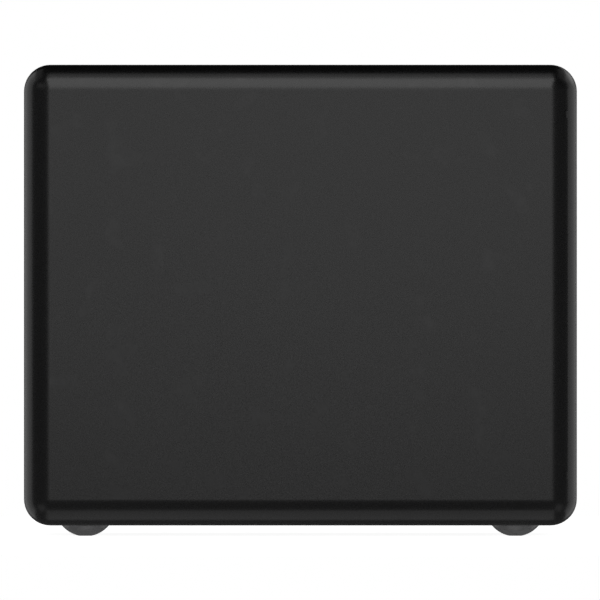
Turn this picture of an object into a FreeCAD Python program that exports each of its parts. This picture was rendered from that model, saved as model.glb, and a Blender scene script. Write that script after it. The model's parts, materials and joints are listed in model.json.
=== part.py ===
import FreeCAD, Part
import math
import os
import re

import Sketcher

# A small upright desktop computer: one moulded case with a front bezel, a steel rear panel, a bottom hatch and
# four domed rubber feet, and inside it a tray with the main board, a tower cooler, an exhaust fan and a drive.
# Millimetres. +Z is up, the front faces -Y, and the origin is on the table under the middle of the case.

# Driving dimensions, one sheet cell each.
SIZES = {
    # case
    "case_wide": 125,
    "case_deep": 150,
    "case_tall": 125,
    "edge_round": 7.2,
    "wall": 2,
    "window": 106,
    "window_round": 4,
    "fit_gap": 0.3,
    "seat_gap": 0.1,
    "bore_gap": 0.05,
    # feet
    "foot_radius": 6.45,
    "foot_ball": 8.4,
    "foot_tall": 2.85,
    "foot_inset": 16.6,
    "foot_seat": 0.4,
    # bezel
    "bezel_recess": 1,
    "bezel_thick": 2.5,
    "slot_long": 29,
    "slot_tall": 2.6,
    "slot_columns": 3,
    "slot_rows": 14,
    "slot_column_pitch": 33,
    "slot_row_pitch": 5,
    "tab_wide": 12,
    "tab_thick": 1.5,
    "hook_out": 1.2,
    "filter_wide": 98,
    "filter_tall": 74,
    "filter_rim": 3,
    "filter_rim_thick": 1.4,
    "filter_mesh_thick": 0.5,
    # power button
    "button_across": 38,
    "button_height": 27,
    "button_radius": 5.5,
    "button_flange": 0.9,
    "ring_wide": 1.6,
    "switch_side": 6,
    "switch_deep": 3.4,
    "plunger_radius": 1.75,
    "plunger_out": 1.2,
    "plunger_long": 2,
    "switch_board_wide": 18,
    "switch_board_tall": 14,
    "switch_board_thick": 1.2,
    "lens_across": 24.5,
    "lens_radius": 1,
    # rear panel
    "panel_recess": 1.4,
    "panel_thick": 1.2,
    "screw_inset": 3.75,
    "screw_radius": 1.25,
    "boss_radius": 3.5,
    "boss_long": 12,
    "grille_radius": 37,
    "grille_slot": 4,
    "grille_bridge": 2,
    "spoke_wide": 3,
    "lock_wide": 3,
    "lock_tall": 7,
    "lock_across": 49,
    "lock_height": 30,
    # bottom hatch
    "hatch_wide": 77,
    "hatch_deep": 120,
    "hatch_thick": 1.6,
    "ledge_wide": 2.75,
    "ledge_deep": 8.5,
    "ledge_thick": 1.6,
    "hatch_screw_radius": 1,
    "hatch_screw_x": 30,
    "hatch_screw_y": 56.5,
    "vent_long": 26,
    "vent_wide": 2.4,
    "vent_pitch": 6,
    "vent_rows": 12,
    # tray and board
    "tray_low": 12.8,
    "tray_thick": 1.2,
    "tray_wide": 99,
    "tray_deep": 138,
    "tray_flange": 4,
    "post_x": 38,
    "post_y": 66,
    "post_radius": 3,
    "standoff_tall": 6.2,
    "standoff_radius": 2.75,
    "standoff_x": 45,
    "standoff_front": 60,
    "standoff_rear": 50,
    "board_wide": 100,
    "board_thick": 1.6,
    "board_front": 64,
    "board_rear": 71.5,
    # cooler
    "cpu_y": 16,
    "cpu_wide": 34,
    "cpu_deep": 28,
    "cpu_thick": 1.2,
    "die_wide": 16,
    "die_deep": 10,
    "die_thick": 0.8,
    "base_wide": 36,
    "base_deep": 40,
    "base_shoulder": 2.2,
    "base_top_deep": 30,
    "base_tall": 8.2,
    "pipe_radius": 3,
    "pipe_pitch": 10,
    "pipe_rise_x": 27,
    "pipe_bend": 9,
    "pipe_z": 28,
    "pipe_top": 114,
    "fin_wide": 76,
    "fin_deep": 50,
    "fin_thick": 0.5,
    "fin_pitch": 2.6,
    "fin_count": 26,
    "fin_low": 45,
    "bar_wide": 50.4,
    "bar_deep": 10,
    "bar_thick": 1.5,
    "cooler_hole": 21.5,
    "spring_tall": 6,
    "spring_radius": 2.4,
    "spring_wire": 0.35,
    "backplate_wide": 52,
    "backplate_window": 24,
    "backplate_thick": 1.4,
    # fan
    "fan_size": 80,
    "fan_deep": 25,
    "fan_height": 78,
    "fan_bore": 38,
    "fan_hole_pitch": 71.5,
    "fan_flange": 4,
    "fan_wall": 1.6,
    "fan_hole": 2.15,
    "hub_plate": 3,
    "hub_front": 3.4,
    "sleeve_front": 11,
    "hub_radius": 16,
    "hub_deep": 18,
    "hub_wall": 1.4,
    "blade_count": 7,
    "blade_tip": 35.6,
    "blade_root_chord": 13,
    "blade_tip_chord": 16,
    "blade_root_rise": 10,
    "blade_tip_rise": 8,
    "blade_thick": 1.3,
    "shaft_radius": 1.5,
    "shaft_gap": 0.05,
    "sleeve_radius": 3.5,
    "strut_wide": 4,
    # drive
    "drive_wide": 69.8,
    "drive_deep": 100,
    "drive_tall": 7,
    "drive_low": 5.2,
    "drive_hole_y": 38,
    "caddy_deep": 92,
    "caddy_wall": 0.8,
    # memory modules and cards
    "memory_wide": 67.6,
    "memory_deep": 30,
    "memory_chip_wide": 12.5,
    "memory_chip_deep": 14,
    "card_wide": 22,
    "card_thick": 0.8,
    "card_chip_tall": 1.2,
    "part_pitch": 9,
    # connectors, seen across the case and up from the board
    "socket_proud": 0.3,
    "jack_bore": 1.8,
    "jack_nose": 2.8,
    "jack_collar": 4,
    "socket_bend": 0.5,
}

# Places that follow from the driving dimensions.
PLACES = {
    "half_wide": "case_wide / 2",
    "half_deep": "case_deep / 2",
    "inner_x": "half_wide - wall",
    "inner_y": "half_deep - wall",
    "floor_z": "foot_tall + wall",
    "mid_z": "foot_tall + case_tall / 2",
    "foot_rise": "sqrt(foot_ball ^ 2 - foot_radius ^ 2)",
    "insert": "window - 2 * fit_gap",
    "bezel_face": "bezel_recess - half_deep",
    "bezel_back": "bezel_face + bezel_thick",
    "panel_face": "half_deep - panel_recess",
    "panel_inside": "panel_face - panel_thick",
    "screw_out": "insert / 2 - screw_inset",
    "tray_top": "tray_low + tray_thick",
    "board_low": "tray_top + standoff_tall",
    "board_top": "board_low + board_thick",
    "ring_inner": "button_radius + fit_gap",
    "ring_outer": "ring_inner + ring_wide",
    "flange_front": "bezel_back + seat_gap",
    "flange_back": "flange_front + button_flange",
    "plunger_tip": "flange_back + seat_gap",
    "switch_face": "plunger_tip + plunger_out",
    "switch_board_face": "switch_face + switch_deep",
    "die_top": "board_top + cpu_thick + die_thick",
    "shoulder_z": "die_top + base_shoulder",
    "bar_top": "shoulder_z + bar_thick",
    "spring_top": "bar_top + spring_tall",
    "fan_rear": "panel_inside - seat_gap",
    "fan_front": "fan_rear - fan_deep",
    "ledge_z": "foot_tall + hatch_thick + seat_gap",
    "socket_mouth": "panel_face + socket_proud",
}

doc = FreeCAD.newDocument("mini_pc")
sheet = doc.addObject("Spreadsheet::Sheet", "Sizes")
for row, (alias, value) in enumerate(SIZES.items(), start=1):
    sheet.set(f"A{row}", alias)
    sheet.set(f"B{row}", str(value))
    sheet.setAlias(f"B{row}", alias)
doc.recompute()

SUBPARTS = []
PLANE_NORMAL = {"XY": 1, "XZ": -1, "YZ": 1}
UP = FreeCAD.Rotation()
DOWN = FreeCAD.Rotation(FreeCAD.Vector(1, 0, 0), 180)
REARWARD = FreeCAD.Rotation(FreeCAD.Vector(1, 0, 0), -90)
FRONTWARD = FreeCAD.Rotation(FreeCAD.Vector(1, 0, 0), 90)
SIDEWARD = FreeCAD.Rotation(FreeCAD.Vector(0, 1, 0), 90)
OTHER_SIDEWARD = FreeCAD.Rotation(FreeCAD.Vector(0, 1, 0), -90)


def formula(text):
    """Write a formula over plain names as a formula over the sheet's cells."""

    def cell(match):
        word = match.group()
        if word in SIZES:
            return "Sizes." + word
        if word in PLACES:
            return "(" + formula(PLACES[word]) + ")"
        return word

    return re.sub(r"[a-z_]+", cell, str(text))


def number(text):
    """Give the present value of a formula."""
    return float(sheet.evalExpression(formula(text)))


def bind(item, prop, text):
    """Bind one property of an object to a formula."""
    item.setExpression(prop, formula(text))


def settle(item, low):
    """Bind an object's position to three formulas."""
    for axis, text in zip("xyz", low):
        bind(item, "Placement.Base." + axis, text)
    return item


def subpart(item, label):
    """Enter a finished object as a sub-part under its own label."""
    item.Label = label
    SUBPARTS.append(item)
    return item


# ---- Part primitives and booleans ----


def block(low, size):
    """A box from its low corner and its size."""
    item = doc.addObject("Part::Box", "block")
    for prop, text in zip(("Length", "Width", "Height"), size):
        bind(item, prop, text)
    return settle(item, low)


def middle_block(middle, low_z, size):
    """A box centred on a point in plan, standing on a height."""
    low = (f"{middle[0]} - ({size[0]}) / 2", f"{middle[1]} - ({size[1]}) / 2", low_z)
    return block(low, size)


def rod(foot, radius, long, turn=UP):
    """A cylinder from the middle of one end."""
    item = doc.addObject("Part::Cylinder", "rod")
    item.Placement = FreeCAD.Placement(FreeCAD.Vector(), turn)
    bind(item, "Radius", radius)
    bind(item, "Height", long)
    return settle(item, foot)


def fuse(items):
    """One solid out of several that touch or overlap."""
    item = doc.addObject("Part::MultiFuse", "fusion")
    item.Shapes = items
    item.Refine = True
    return item


def group(items):
    """Several separate solids held together as one object."""
    item = doc.addObject("Part::Compound", "group")
    item.Links = items
    return item


def cut(base, tools):
    """The base without the tools, which stay clear of each other."""
    item = doc.addObject("Part::Cut", "cut")
    item.Base = base
    item.Tool = tools[0] if len(tools) == 1 else group(tools)
    return item


def copies(master, places, turn=UP):
    """Linked copies of one object at several places, as one group."""
    links = []
    for place in places:
        link = doc.addObject("App::Link", "copy")
        link.LinkedObject = master
        link.Placement = FreeCAD.Placement(FreeCAD.Vector(), turn)
        links.append(settle(link, place))
    return group(links)


# ---- PartDesign bodies ----


def polygon(points):
    """A closed outline of straight lines through points given as formulas."""

    def draw(sketch):
        spots = [FreeCAD.Vector(number(x), number(y), 0) for x, y in points]
        count = len(spots)
        first = None
        for here in range(count):
            line = Part.LineSegment(spots[here], spots[(here + 1) % count])
            index = sketch.addGeometry(line, False)
            first = index if first is None else first
        for here in range(count):
            this, following = first + here, first + (here + 1) % count
            sketch.addConstraint(Sketcher.Constraint("Coincident", this, 2, following, 1))
        for here, (x, y) in enumerate(points):
            for kind, text in (("DistanceX", x), ("DistanceY", y)):
                pin = Sketcher.Constraint(kind, -1, 1, first + here, 1, number(text))
                spot = sketch.addConstraint(pin)
                bind(sketch, f"Constraints[{spot}]", text)

    return draw


def rectangle(x, y, wide, tall):
    """A rectangle centred on a point."""
    left, right = f"{x} - ({wide}) / 2", f"{x} + ({wide}) / 2"
    low, high = f"{y} - ({tall}) / 2", f"{y} + ({tall}) / 2"
    return polygon([(left, low), (right, low), (right, high), (left, high)])


def circle(x, y, radius):
    """A circle about a point."""

    def draw(sketch):
        middle = FreeCAD.Vector(number(x), number(y), 0)
        ring = Part.Circle(middle, FreeCAD.Vector(0, 0, 1), number(radius))
        index = sketch.addGeometry(ring, False)
        rules = (
            (Sketcher.Constraint("DistanceX", -1, 1, index, 3, number(x)), x),
            (Sketcher.Constraint("DistanceY", -1, 1, index, 3, number(y)), y),
            (Sketcher.Constraint("Radius", index, number(radius)), radius),
        )
        for rule, text in rules:
            spot = sketch.addConstraint(rule)
            bind(sketch, f"Constraints[{spot}]", text)

    return draw


def rounded_rectangle(x, y, wide, tall, radius):
    """A rectangle centred on a point, with its four corners rounded."""

    def draw(sketch):
        left, low = number(f"{x} - ({wide}) / 2"), number(f"{y} - ({tall}) / 2")
        right, high = left + number(wide), low + number(tall)
        bend = number(radius)
        corners = (
            ((left + bend, low), (right - bend, low), (right - bend, low + bend), -90),
            ((right, low + bend), (right, high - bend), (right - bend, high - bend), 0),
            ((right - bend, high), (left + bend, high), (left + bend, high - bend), 90),
            ((left, high - bend), (left, low + bend), (left + bend, low + bend), 180),
        )
        first = None
        for start, end, middle, angle in corners:
            line = Part.LineSegment(FreeCAD.Vector(*start, 0), FreeCAD.Vector(*end, 0))
            index = sketch.addGeometry(line, False)
            first = index if first is None else first
            ring = Part.Circle(FreeCAD.Vector(*middle, 0), FreeCAD.Vector(0, 0, 1), bend)
            arc = Part.ArcOfCircle(ring, math.radians(angle), math.radians(angle + 90))
            sketch.addGeometry(arc, False)
        for side in range(8):
            this, following = first + side, first + (side + 1) % 8
            sketch.addConstraint(Sketcher.Constraint("Tangent", this, 2, following, 1))
        for side, kind in ((0, "Horizontal"), (2, "Vertical"), (4, "Horizontal"), (6, "Vertical")):
            sketch.addConstraint(Sketcher.Constraint(kind, first + side))
        for side in (3, 5, 7):
            sketch.addConstraint(Sketcher.Constraint("Equal", first + 1, first + side))
        rules = (
            (Sketcher.Constraint("Radius", first + 1, bend), radius),
            (Sketcher.Constraint("DistanceX", first + 6, 1, first + 2, 1, number(wide)), wide),
            (Sketcher.Constraint("DistanceY", first, 1, first + 4, 1, number(tall)), tall),
            (Sketcher.Constraint("DistanceX", -1, 1, first + 6, 1, left), f"{x} - ({wide}) / 2"),
            (Sketcher.Constraint("DistanceY", -1, 1, first, 1, low), f"{y} - ({tall}) / 2"),
        )
        for rule, text in rules:
            spot = sketch.addConstraint(rule)
            bind(sketch, f"Constraints[{spot}]", text)

    return draw


class Piece:
    """One PartDesign body, built by features that go toward + or - of their plane's axis."""

    def __init__(self, name):
        self.body = doc.addObject("PartDesign::Body", name)

    def origin(self, role):
        return next(item for item in self.body.Origin.OriginFeatures if item.Role == role)

    def sketch(self, plane, at, outlines):
        item = self.body.newObject("Sketcher::SketchObject", "outline")
        item.AttachmentSupport = (self.origin(plane + "_Plane"), [""])
        item.MapMode = "FlatFace"
        bind(item, "AttachmentOffset.Base.z", f"{PLANE_NORMAL[plane]} * ({at})")
        for outline in outlines:
            outline(item)
        return item

    def pad(self, plane, at, outlines, length, toward=1):
        item = self.body.newObject("PartDesign::Pad", "pad")
        item.Profile = self.sketch(plane, at, outlines)
        bind(item, "Length", length)
        item.Reversed = toward != PLANE_NORMAL[plane]
        return item

    def pocket(self, plane, at, outlines, length, toward=1):
        item = self.body.newObject("PartDesign::Pocket", "pocket")
        item.Profile = self.sketch(plane, at, outlines)
        bind(item, "Length", length)
        item.Reversed = toward == PLANE_NORMAL[plane]
        return item

    def turned(self, outline):
        """A solid of revolution about the body's Z axis, from an outline of (radius, height)."""
        item = self.body.newObject("PartDesign::Revolution", "turning")
        item.Profile = self.sketch("XZ", "0", [outline])
        item.ReferenceAxis = (self.origin("Z_Axis"), [""])
        item.Angle = 360
        return item

    def repeat(self, feature, steps):
        """Repeat a feature along one or two axes, each given as (axis, count, pitch)."""
        item = self.body.newObject("PartDesign::LinearPattern", "row")
        item.Originals = [feature]
        for suffix, (axis, count, pitch) in zip(("", "2"), steps):
            setattr(item, "Direction" + suffix, (self.origin(axis + "_Axis"), [""]))
            bind(item, "Occurrences" + suffix, count)
            bind(item, "Length" + suffix, f"({count} - 1) * {pitch}")
        self.body.Tip = item
        return item

    def around(self, feature, count):
        """Repeat a feature round the body's Z axis."""
        item = self.body.newObject("PartDesign::PolarPattern", "ring")
        item.Originals = [feature]
        item.Axis = (self.origin("Z_Axis"), [""])
        item.Angle = 360
        bind(item, "Occurrences", count)
        self.body.Tip = item
        return item

    def round_all(self, feature, radius):
        doc.recompute()
        item = self.body.newObject("PartDesign::Fillet", "rounding")
        edges = [f"Edge{index + 1}" for index in range(len(feature.Shape.Edges))]
        item.Base = (feature, edges)
        bind(item, "Radius", radius)
        return item


def screw(name, head_radius, head_tall, shank_radius, shank_long):
    """A pan-head screw along Z: the underside of its head is at zero, with a cross recess in the top."""
    piece = Piece(name)
    outline = [
        ("0", -shank_long),
        (shank_radius, -shank_long),
        (shank_radius, "0"),
        (head_radius, "0"),
        (head_radius, head_tall * 0.6),
        (head_radius * 0.75, head_tall),
        ("0", head_tall),
    ]
    piece.turned(polygon(outline))
    for wide, tall in ((head_radius, head_radius * 0.28), (head_radius * 0.28, head_radius)):
        piece.pocket("XY", head_tall, [rectangle("0", "0", wide, tall)], head_tall * 0.6, toward=-1)
    return piece.body


def corners(x, y, middle=("0", "0")):
    """The four places at plus and minus x and y about a middle."""
    return [(f"{middle[0]} + {i} * ({x})", f"{middle[1]} + {j} * ({y})") for i in (-1, 1) for j in (-1, 1)]


# ---- case ----


def rounded_box(name, wide, deep, tall, low_z, radius):
    """A box with every edge rounded alike, centred in plan."""
    piece = Piece(name)
    pad = piece.pad("XY", low_z, [rectangle("0", "0", wide, deep)], tall)
    piece.round_all(pad, radius)
    return piece.body


def case_shell():
    outer = rounded_box("case_outside", "case_wide", "case_deep", "case_tall", "foot_tall", "edge_round")
    inner_sizes = [f"{size} - 2 * wall" for size in ("case_wide", "case_deep", "case_tall")]
    inner = rounded_box("case_inside", *inner_sizes, "floor_z", "edge_round - wall")
    windows = Piece("case_windows")
    square = rounded_rectangle("0", "mid_z", "window", "window", "window_round")
    windows.pad("XZ", "-half_deep - 1", [square], "case_deep + 2")
    hollow = cut(outer, [fuse([inner, windows.body])])

    additions = [hollow]
    for x in (-1, 1):
        for z in (-1, 1):
            height = f"mid_z + {z} * screw_out"
            low_y = "panel_inside - boss_long"
            additions.append(rod((f"{x} * screw_out", low_y, height), "boss_radius", "boss_long", REARWARD))
            web_x = "screw_out" if x > 0 else "-inner_x - wall / 2"
            web_size = ("inner_x + wall / 2 - screw_out", "boss_long", "wall")
            additions.append(block((web_x, low_y, f"{height} - wall / 2"), web_size))
    for x, y in corners("post_x", "post_y"):
        additions.append(rod((x, y, "floor_z - wall / 2"), "post_radius", "tray_low - floor_z + wall / 2"))
    ledge = middle_block(("0", "0"), "ledge_z", ("hatch_wide + 8", "hatch_deep + 6", "ledge_thick"))
    additions.append(ledge)
    for x, y in corners("hatch_screw_x", "hatch_screw_y"):
        additions.append(rod((x, y, "ledge_z"), "post_radius", "tray_low - ledge_z - 1"))
    solid = fuse(additions)

    opening = Piece("hatch_opening")
    hole = rounded_rectangle("0", "0", "hatch_wide + 2 * fit_gap", "hatch_deep + 2 * fit_gap", "window_round")
    opening.pad("XY", "foot_tall - 1", [hole], "ledge_z - foot_tall + 1")
    reach_size = ("hatch_wide - 2 * ledge_wide", "hatch_deep - 2 * ledge_deep", "ledge_thick * 4")
    reach = middle_block(("0", "0"), "foot_tall", reach_size)
    tools = [fuse([opening.body, reach])]
    for x in (-1, 1):
        for z in (-1, 1):
            foot = (f"{x} * screw_out", "panel_inside - boss_long + 2", f"mid_z + {z} * screw_out")
            tools.append(rod(foot, "screw_radius + bore_gap", "boss_long", REARWARD))
    for x, y in corners("post_x", "post_y"):
        tools.append(rod((x, y, "tray_low - 6"), "screw_radius + bore_gap", "8"))
    for x, y in corners("hatch_screw_x", "hatch_screw_y"):
        tools.append(rod((x, y, "ledge_z - 0.5"), "hatch_screw_radius + bore_gap", "6"))
    for x, y in corners("half_wide - foot_inset", "half_deep - foot_inset"):
        tools.append(rod((x, y, "foot_tall - 1"), "foot_radius + seat_gap", "foot_seat + 1"))
    subpart(cut(solid, tools), "case_shell")


def foot(label, x, y):
    """A domed stick-on rubber foot: a slice of a ball with a small flat, seated in the underside."""
    ball = doc.addObject("Part::Sphere", "ball")
    bind(ball, "Radius", "foot_ball")
    settle(ball, (x, y, "foot_tall + foot_rise"))
    disc = rod((x, y, "0"), "foot_radius", "foot_tall + foot_seat")
    dome = doc.addObject("Part::MultiCommon", "dome")
    dome.Shapes = [ball, disc]
    subpart(dome, label)


def feet():
    for front, y in (("front", "foot_inset - half_deep"), ("rear", "half_deep - foot_inset")):
        for side, x in (("left", "foot_inset - half_wide"), ("right", "half_wide - foot_inset")):
            foot(f"foot_{front}_{side}", x, y)


def bottom_hatch():
    piece = Piece("bottom_hatch")
    plate = rounded_rectangle("0", "0", "hatch_wide", "hatch_deep", "window_round - fit_gap")
    piece.pad("XY", "foot_tall", [plate], "hatch_thick")
    for x, y in corners("hatch_screw_x", "hatch_screw_y"):
        piece.pocket("XY", "foot_tall", [circle(x, y, "hatch_screw_radius + seat_gap")], "hatch_thick")
    first = "-(vent_rows - 1) * vent_pitch / 2"
    for side in (-1, 1):
        across = f"{side} * (vent_long / 2 + 3)"
        slot = rounded_rectangle(across, first, "vent_long", "vent_wide", "vent_wide / 2 - 0.1")
        vent = piece.pocket("XY", "foot_tall", [slot], "hatch_thick")
        piece.repeat(vent, [("Y", "vent_rows", "vent_pitch")])
    subpart(piece.body, "bottom_hatch")
    heads = screw("hatch_screw", 2, 1.1, 1, 4)
    places = [(x, y, "foot_tall") for x, y in corners("hatch_screw_x", "hatch_screw_y")]
    subpart(copies(heads, places, DOWN), "hatch_screws")


# ---- connectors ----


SOCKET_BEND = "socket_bend"


class Socket:
    """A connector on the board: a shell with one or more mouths, most with a contact tongue."""

    def __init__(self, label, across, wide, tall, deep, mouths, front=False, low="board_top", bend=SOCKET_BEND):
        self.label = label
        self.across = across
        self.wide = wide
        self.tall = tall
        self.deep = deep
        self.mouths = mouths
        self.front = front
        self.low = low
        self.bend = bend

    def opening(self):
        """The outline of its hole in the bezel or the rear panel."""
        middle = f"{self.low} + {self.tall} / 2"
        wide, tall = f"{self.wide} + 2 * fit_gap", f"{self.tall} + 2 * fit_gap"
        return rounded_rectangle(self.across, middle, wide, tall, f"{self.bend} + fit_gap")

    def solid(self):
        mouth_y = "bezel_back - 1" if self.front else "socket_mouth"
        low_y = mouth_y if self.front else f"{mouth_y} - {self.deep}"
        shell = Piece(self.label + "_shell")
        side = rounded_rectangle(self.across, f"{self.low} + {self.tall} / 2", self.wide, self.tall, self.bend)
        shell.pad("XZ", low_y, [side], self.deep)
        base = shell.body
        tools, tongues = [], []
        for height, wide, tall, deep, tongue in self.mouths:
            start = f"{mouth_y} - 1" if self.front else f"{mouth_y} - {deep}"
            low_x = f"{self.across} - {wide} / 2"
            if self.bend == SOCKET_BEND:
                tools.append(block((low_x, start, f"{self.low} + {height}"), (wide, f"{deep} + 1", tall)))
            else:
                oval = Piece(self.label + "_mouth")
                middle = f"{self.low} + {height} + {tall} / 2"
                outline = rounded_rectangle(self.across, middle, wide, tall, f"{self.bend} - {height}")
                oval.pad("XZ", start, [outline], f"{deep} + 1")
                tools.append(oval.body)
            if tongue:
                out, thick, lift = tongue
                begin = f"{mouth_y} + 1.5" if self.front else f"{mouth_y} - {deep} - 0.5"
                low = (f"{self.across} - {out} / 2", begin, f"{self.low} + {height} + {lift}")
                tongues.append(block(low, (out, f"{deep} - 1", thick)))
        solid = cut(base, tools)
        return fuse([solid] + tongues) if tongues else solid


# A mouth is its height in the shell, width, height, depth, and its tongue's width, thickness and lift.
def type_a_mouth(height):
    return (height, 12.4, 5.1, 9, (11, 1.8, 2.6))


def video_mouth(height):
    return (height, 14, 4.6, 9, (11, 1.2, 1.7))


NETWORK_MOUTH = (1.2, 11.8, 8, 13, None)
TYPE_C_MOUTH = (0.5, 8.4, 2.7, 6.2, (6.8, 0.7, 1))
REAR_SOCKETS = [
    Socket("video_sockets", -29.5, 15.5, 14.5, 16, [video_mouth(0.8), video_mouth(8.4)]),
    Socket("network_socket_left", -11.8, 16, 13.5, 20.5, [NETWORK_MOUTH]),
    Socket("network_socket_right", 5.8, 16, 13.5, 20.5, [NETWORK_MOUTH]),
    Socket("rear_type_a_sockets", 22.5, 13.2, 15.4, 17.5, [type_a_mouth(1), type_a_mouth(9)]),
    Socket("rear_type_a_sockets", 38.5, 13.2, 15.4, 17.5, [type_a_mouth(1), type_a_mouth(9)]),
]
FRONT_SOCKETS = [
    Socket("front_type_c_socket", -40, 9.4, 3.7, 7.5, [TYPE_C_MOUTH], True, "board_top + 0.2", "1.8"),
    Socket("front_type_a_sockets", -24, 13.2, 6.2, 14, [type_a_mouth(0.5)], True),
    Socket("front_type_a_sockets", -5, 13.2, 6.2, 14, [type_a_mouth(0.5)], True),
]
DC_X, DC_WIDE, DC_TALL, DC_DEEP, DC_BORE = -43.5, 9.4, 11, 14, 3.2
AUDIO_X, AUDIO_WIDE, AUDIO_TALL, AUDIO_DEEP = 13, 6.6, 6, 14


def sockets():
    """Twin connectors share a sub-part; every other one has its own."""
    twins = {}
    for socket in REAR_SOCKETS + FRONT_SOCKETS:
        twins.setdefault(socket.label, []).append(socket.solid())
    for label, solids in twins.items():
        subpart(solids[0] if len(solids) == 1 else group(solids), label)


def dc_jack():
    height = f"board_top + {DC_TALL} - 5"
    inside = f"{DC_DEEP} - (socket_mouth - panel_inside + seat_gap)"
    low = (DC_X - DC_WIDE / 2, f"socket_mouth - {DC_DEEP}", "board_top")
    housing = block(low, (DC_WIDE, inside, DC_TALL))
    nose = rod((DC_X, "socket_mouth - 4", height), "jack_collar", "4", REARWARD)
    well = rod((DC_X, "socket_mouth - 10", height), DC_BORE, "11", REARWARD)
    pin = rod((DC_X, "socket_mouth - 10.5", height), "1.05", "9.5", REARWARD)
    subpart(fuse([cut(fuse([housing, nose]), [well]), pin]), "dc_jack")


def audio_jack():
    height = f"board_top + {AUDIO_TALL} / 2"
    start = "bezel_back - 1.2"
    low = (AUDIO_X - AUDIO_WIDE / 2, "bezel_back + fit_gap", "board_top")
    base = block(low, (AUDIO_WIDE, AUDIO_DEEP, AUDIO_TALL))
    nose = rod((AUDIO_X, start, height), "jack_nose", "2", REARWARD)
    bore = rod((AUDIO_X, f"{start} - 1", height), "jack_bore", f"{AUDIO_DEEP}", REARWARD)
    subpart(cut(fuse([base, nose]), [bore]), "audio_jack")


# ---- front ----


def front_bezel():
    piece = Piece("front_bezel")
    face = rounded_rectangle("0", "mid_z", "insert", "insert", "window_round - fit_gap")
    piece.pad("XZ", "bezel_face", [face], "bezel_thick")
    for x in (-1, 1):
        for z in (-1, 1):
            height = f"mid_z + {z} * insert / 4"
            tab = rectangle(f"{x} * (insert - tab_thick) / 2", height, "tab_thick", "tab_wide")
            piece.pad("XZ", "bezel_back", [tab], "7")
            hook = rectangle(f"{x} * (insert + hook_out - 0.4) / 2", height, "hook_out + 0.4", "tab_wide")
            piece.pad("XZ", "inner_y * -1 + fit_gap", [hook], "2.4")
        rail = rectangle(f"{x} * (filter_wide / 2 + 0.9)", "fan_height", "1.2", "filter_tall - 16")
        piece.pad("XZ", "bezel_back", [rail], "filter_rim_thick + 1.2")
        lip = rectangle(f"{x} * (filter_wide / 2 + 0.1)", "fan_height", "2.8", "filter_tall - 16")
        piece.pad("XZ", "bezel_back + filter_rim_thick + 0.2", [lip], "1")
    first_x = "-(slot_columns - 1) * slot_column_pitch / 2"
    first_z = "fan_height - (slot_rows - 1) * slot_row_pitch / 2"
    slot = rounded_rectangle(first_x, first_z, "slot_long", "slot_tall", "slot_tall / 2 - 0.1")
    vent = piece.pocket("XZ", "bezel_face", [slot], "bezel_thick")
    piece.repeat(
        vent, [("X", "slot_columns", "slot_column_pitch"), ("Z", "slot_rows", "slot_row_pitch")]
    )
    holes = [
        circle("button_across", "button_height", "ring_outer + seat_gap"),
        circle("lens_across", "button_height", "lens_radius + bore_gap"),
        circle(AUDIO_X, f"board_top + {AUDIO_TALL} / 2", "jack_nose + seat_gap"),
    ]
    for socket in FRONT_SOCKETS:
        holes.append(socket.opening())
    piece.pocket("XZ", "bezel_face", holes, "bezel_thick")
    subpart(piece.body, "front_bezel")


def dust_filter():
    """A rim that slides down between the bezel's rails, with the mesh as a sheet at its back."""
    middle = ("0", "bezel_back + seat_gap + filter_rim_thick / 2")
    low_z = "fan_height - filter_tall / 2"
    rim = middle_block(middle, low_z, ("filter_wide", "filter_rim_thick", "filter_tall"))
    hole = ("filter_wide - 2 * filter_rim", "filter_rim_thick", "filter_tall - 2 * filter_rim")
    inside = middle_block(middle, f"{low_z} + filter_rim", hole)
    back = ("0", "bezel_back + seat_gap + filter_rim_thick - filter_mesh_thick / 2")
    sheet_size = ("filter_wide - filter_rim", "filter_mesh_thick", "filter_tall - filter_rim")
    mesh = middle_block(back, f"{low_z} + filter_rim / 2", sheet_size)
    subpart(fuse([cut(rim, [inside]), mesh]), "dust_filter")


def power_button():
    """The cap slides in the light ring; its flange stays behind the ring and presses the switch."""
    piece = Piece("power_button")
    outline = [
        ("0", "0"),
        ("button_radius + ring_wide", "0"),
        ("button_radius + ring_wide", "button_flange"),
        ("button_radius", "button_flange"),
        ("button_radius", "button_flange + seat_gap + bezel_thick - 0.4"),
        ("button_radius - 0.4", "button_flange + seat_gap + bezel_thick"),
        ("0", "button_flange + seat_gap + bezel_thick - 0.3"),
    ]
    piece.turned(polygon(outline))
    piece.body.Placement = FreeCAD.Placement(FreeCAD.Vector(), FRONTWARD)
    settle(piece.body, ("button_across", "flange_back", "button_height"))
    subpart(piece.body, "power_button")

    ring = Piece("light_ring")
    outlines = [circle("button_across", "button_height", radius) for radius in ("ring_outer", "ring_inner")]
    ring.pad("XZ", "bezel_face", outlines, "bezel_thick")
    subpart(ring.body, "light_ring")

    foot_point = ("lens_across", "bezel_face", "button_height")
    subpart(rod(foot_point, "lens_radius", "bezel_thick + 3", REARWARD), "status_lens")


def power_switch():
    at = ("button_across", "button_height")
    board = Piece("switch_board")
    plate = rectangle(at[0], at[1], "switch_board_wide", "switch_board_tall")
    board.pad("XZ", "switch_board_face", [plate], "switch_board_thick")
    subpart(board.body, "switch_board")

    housing = Piece("switch_body")
    side = rounded_rectangle(at[0], at[1], "switch_side", "switch_side", "0.6")
    housing.pad("XZ", "switch_face", [side], "switch_deep")
    housing.pocket("XZ", "switch_face", [circle(at[0], at[1], "plunger_radius + seat_gap")], "1.6")
    subpart(housing.body, "switch_body")

    foot_point = (at[0], "plunger_tip", at[1])
    subpart(rod(foot_point, "plunger_radius", "plunger_long", REARWARD), "switch_plunger")


# ---- rear panel ----


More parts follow.
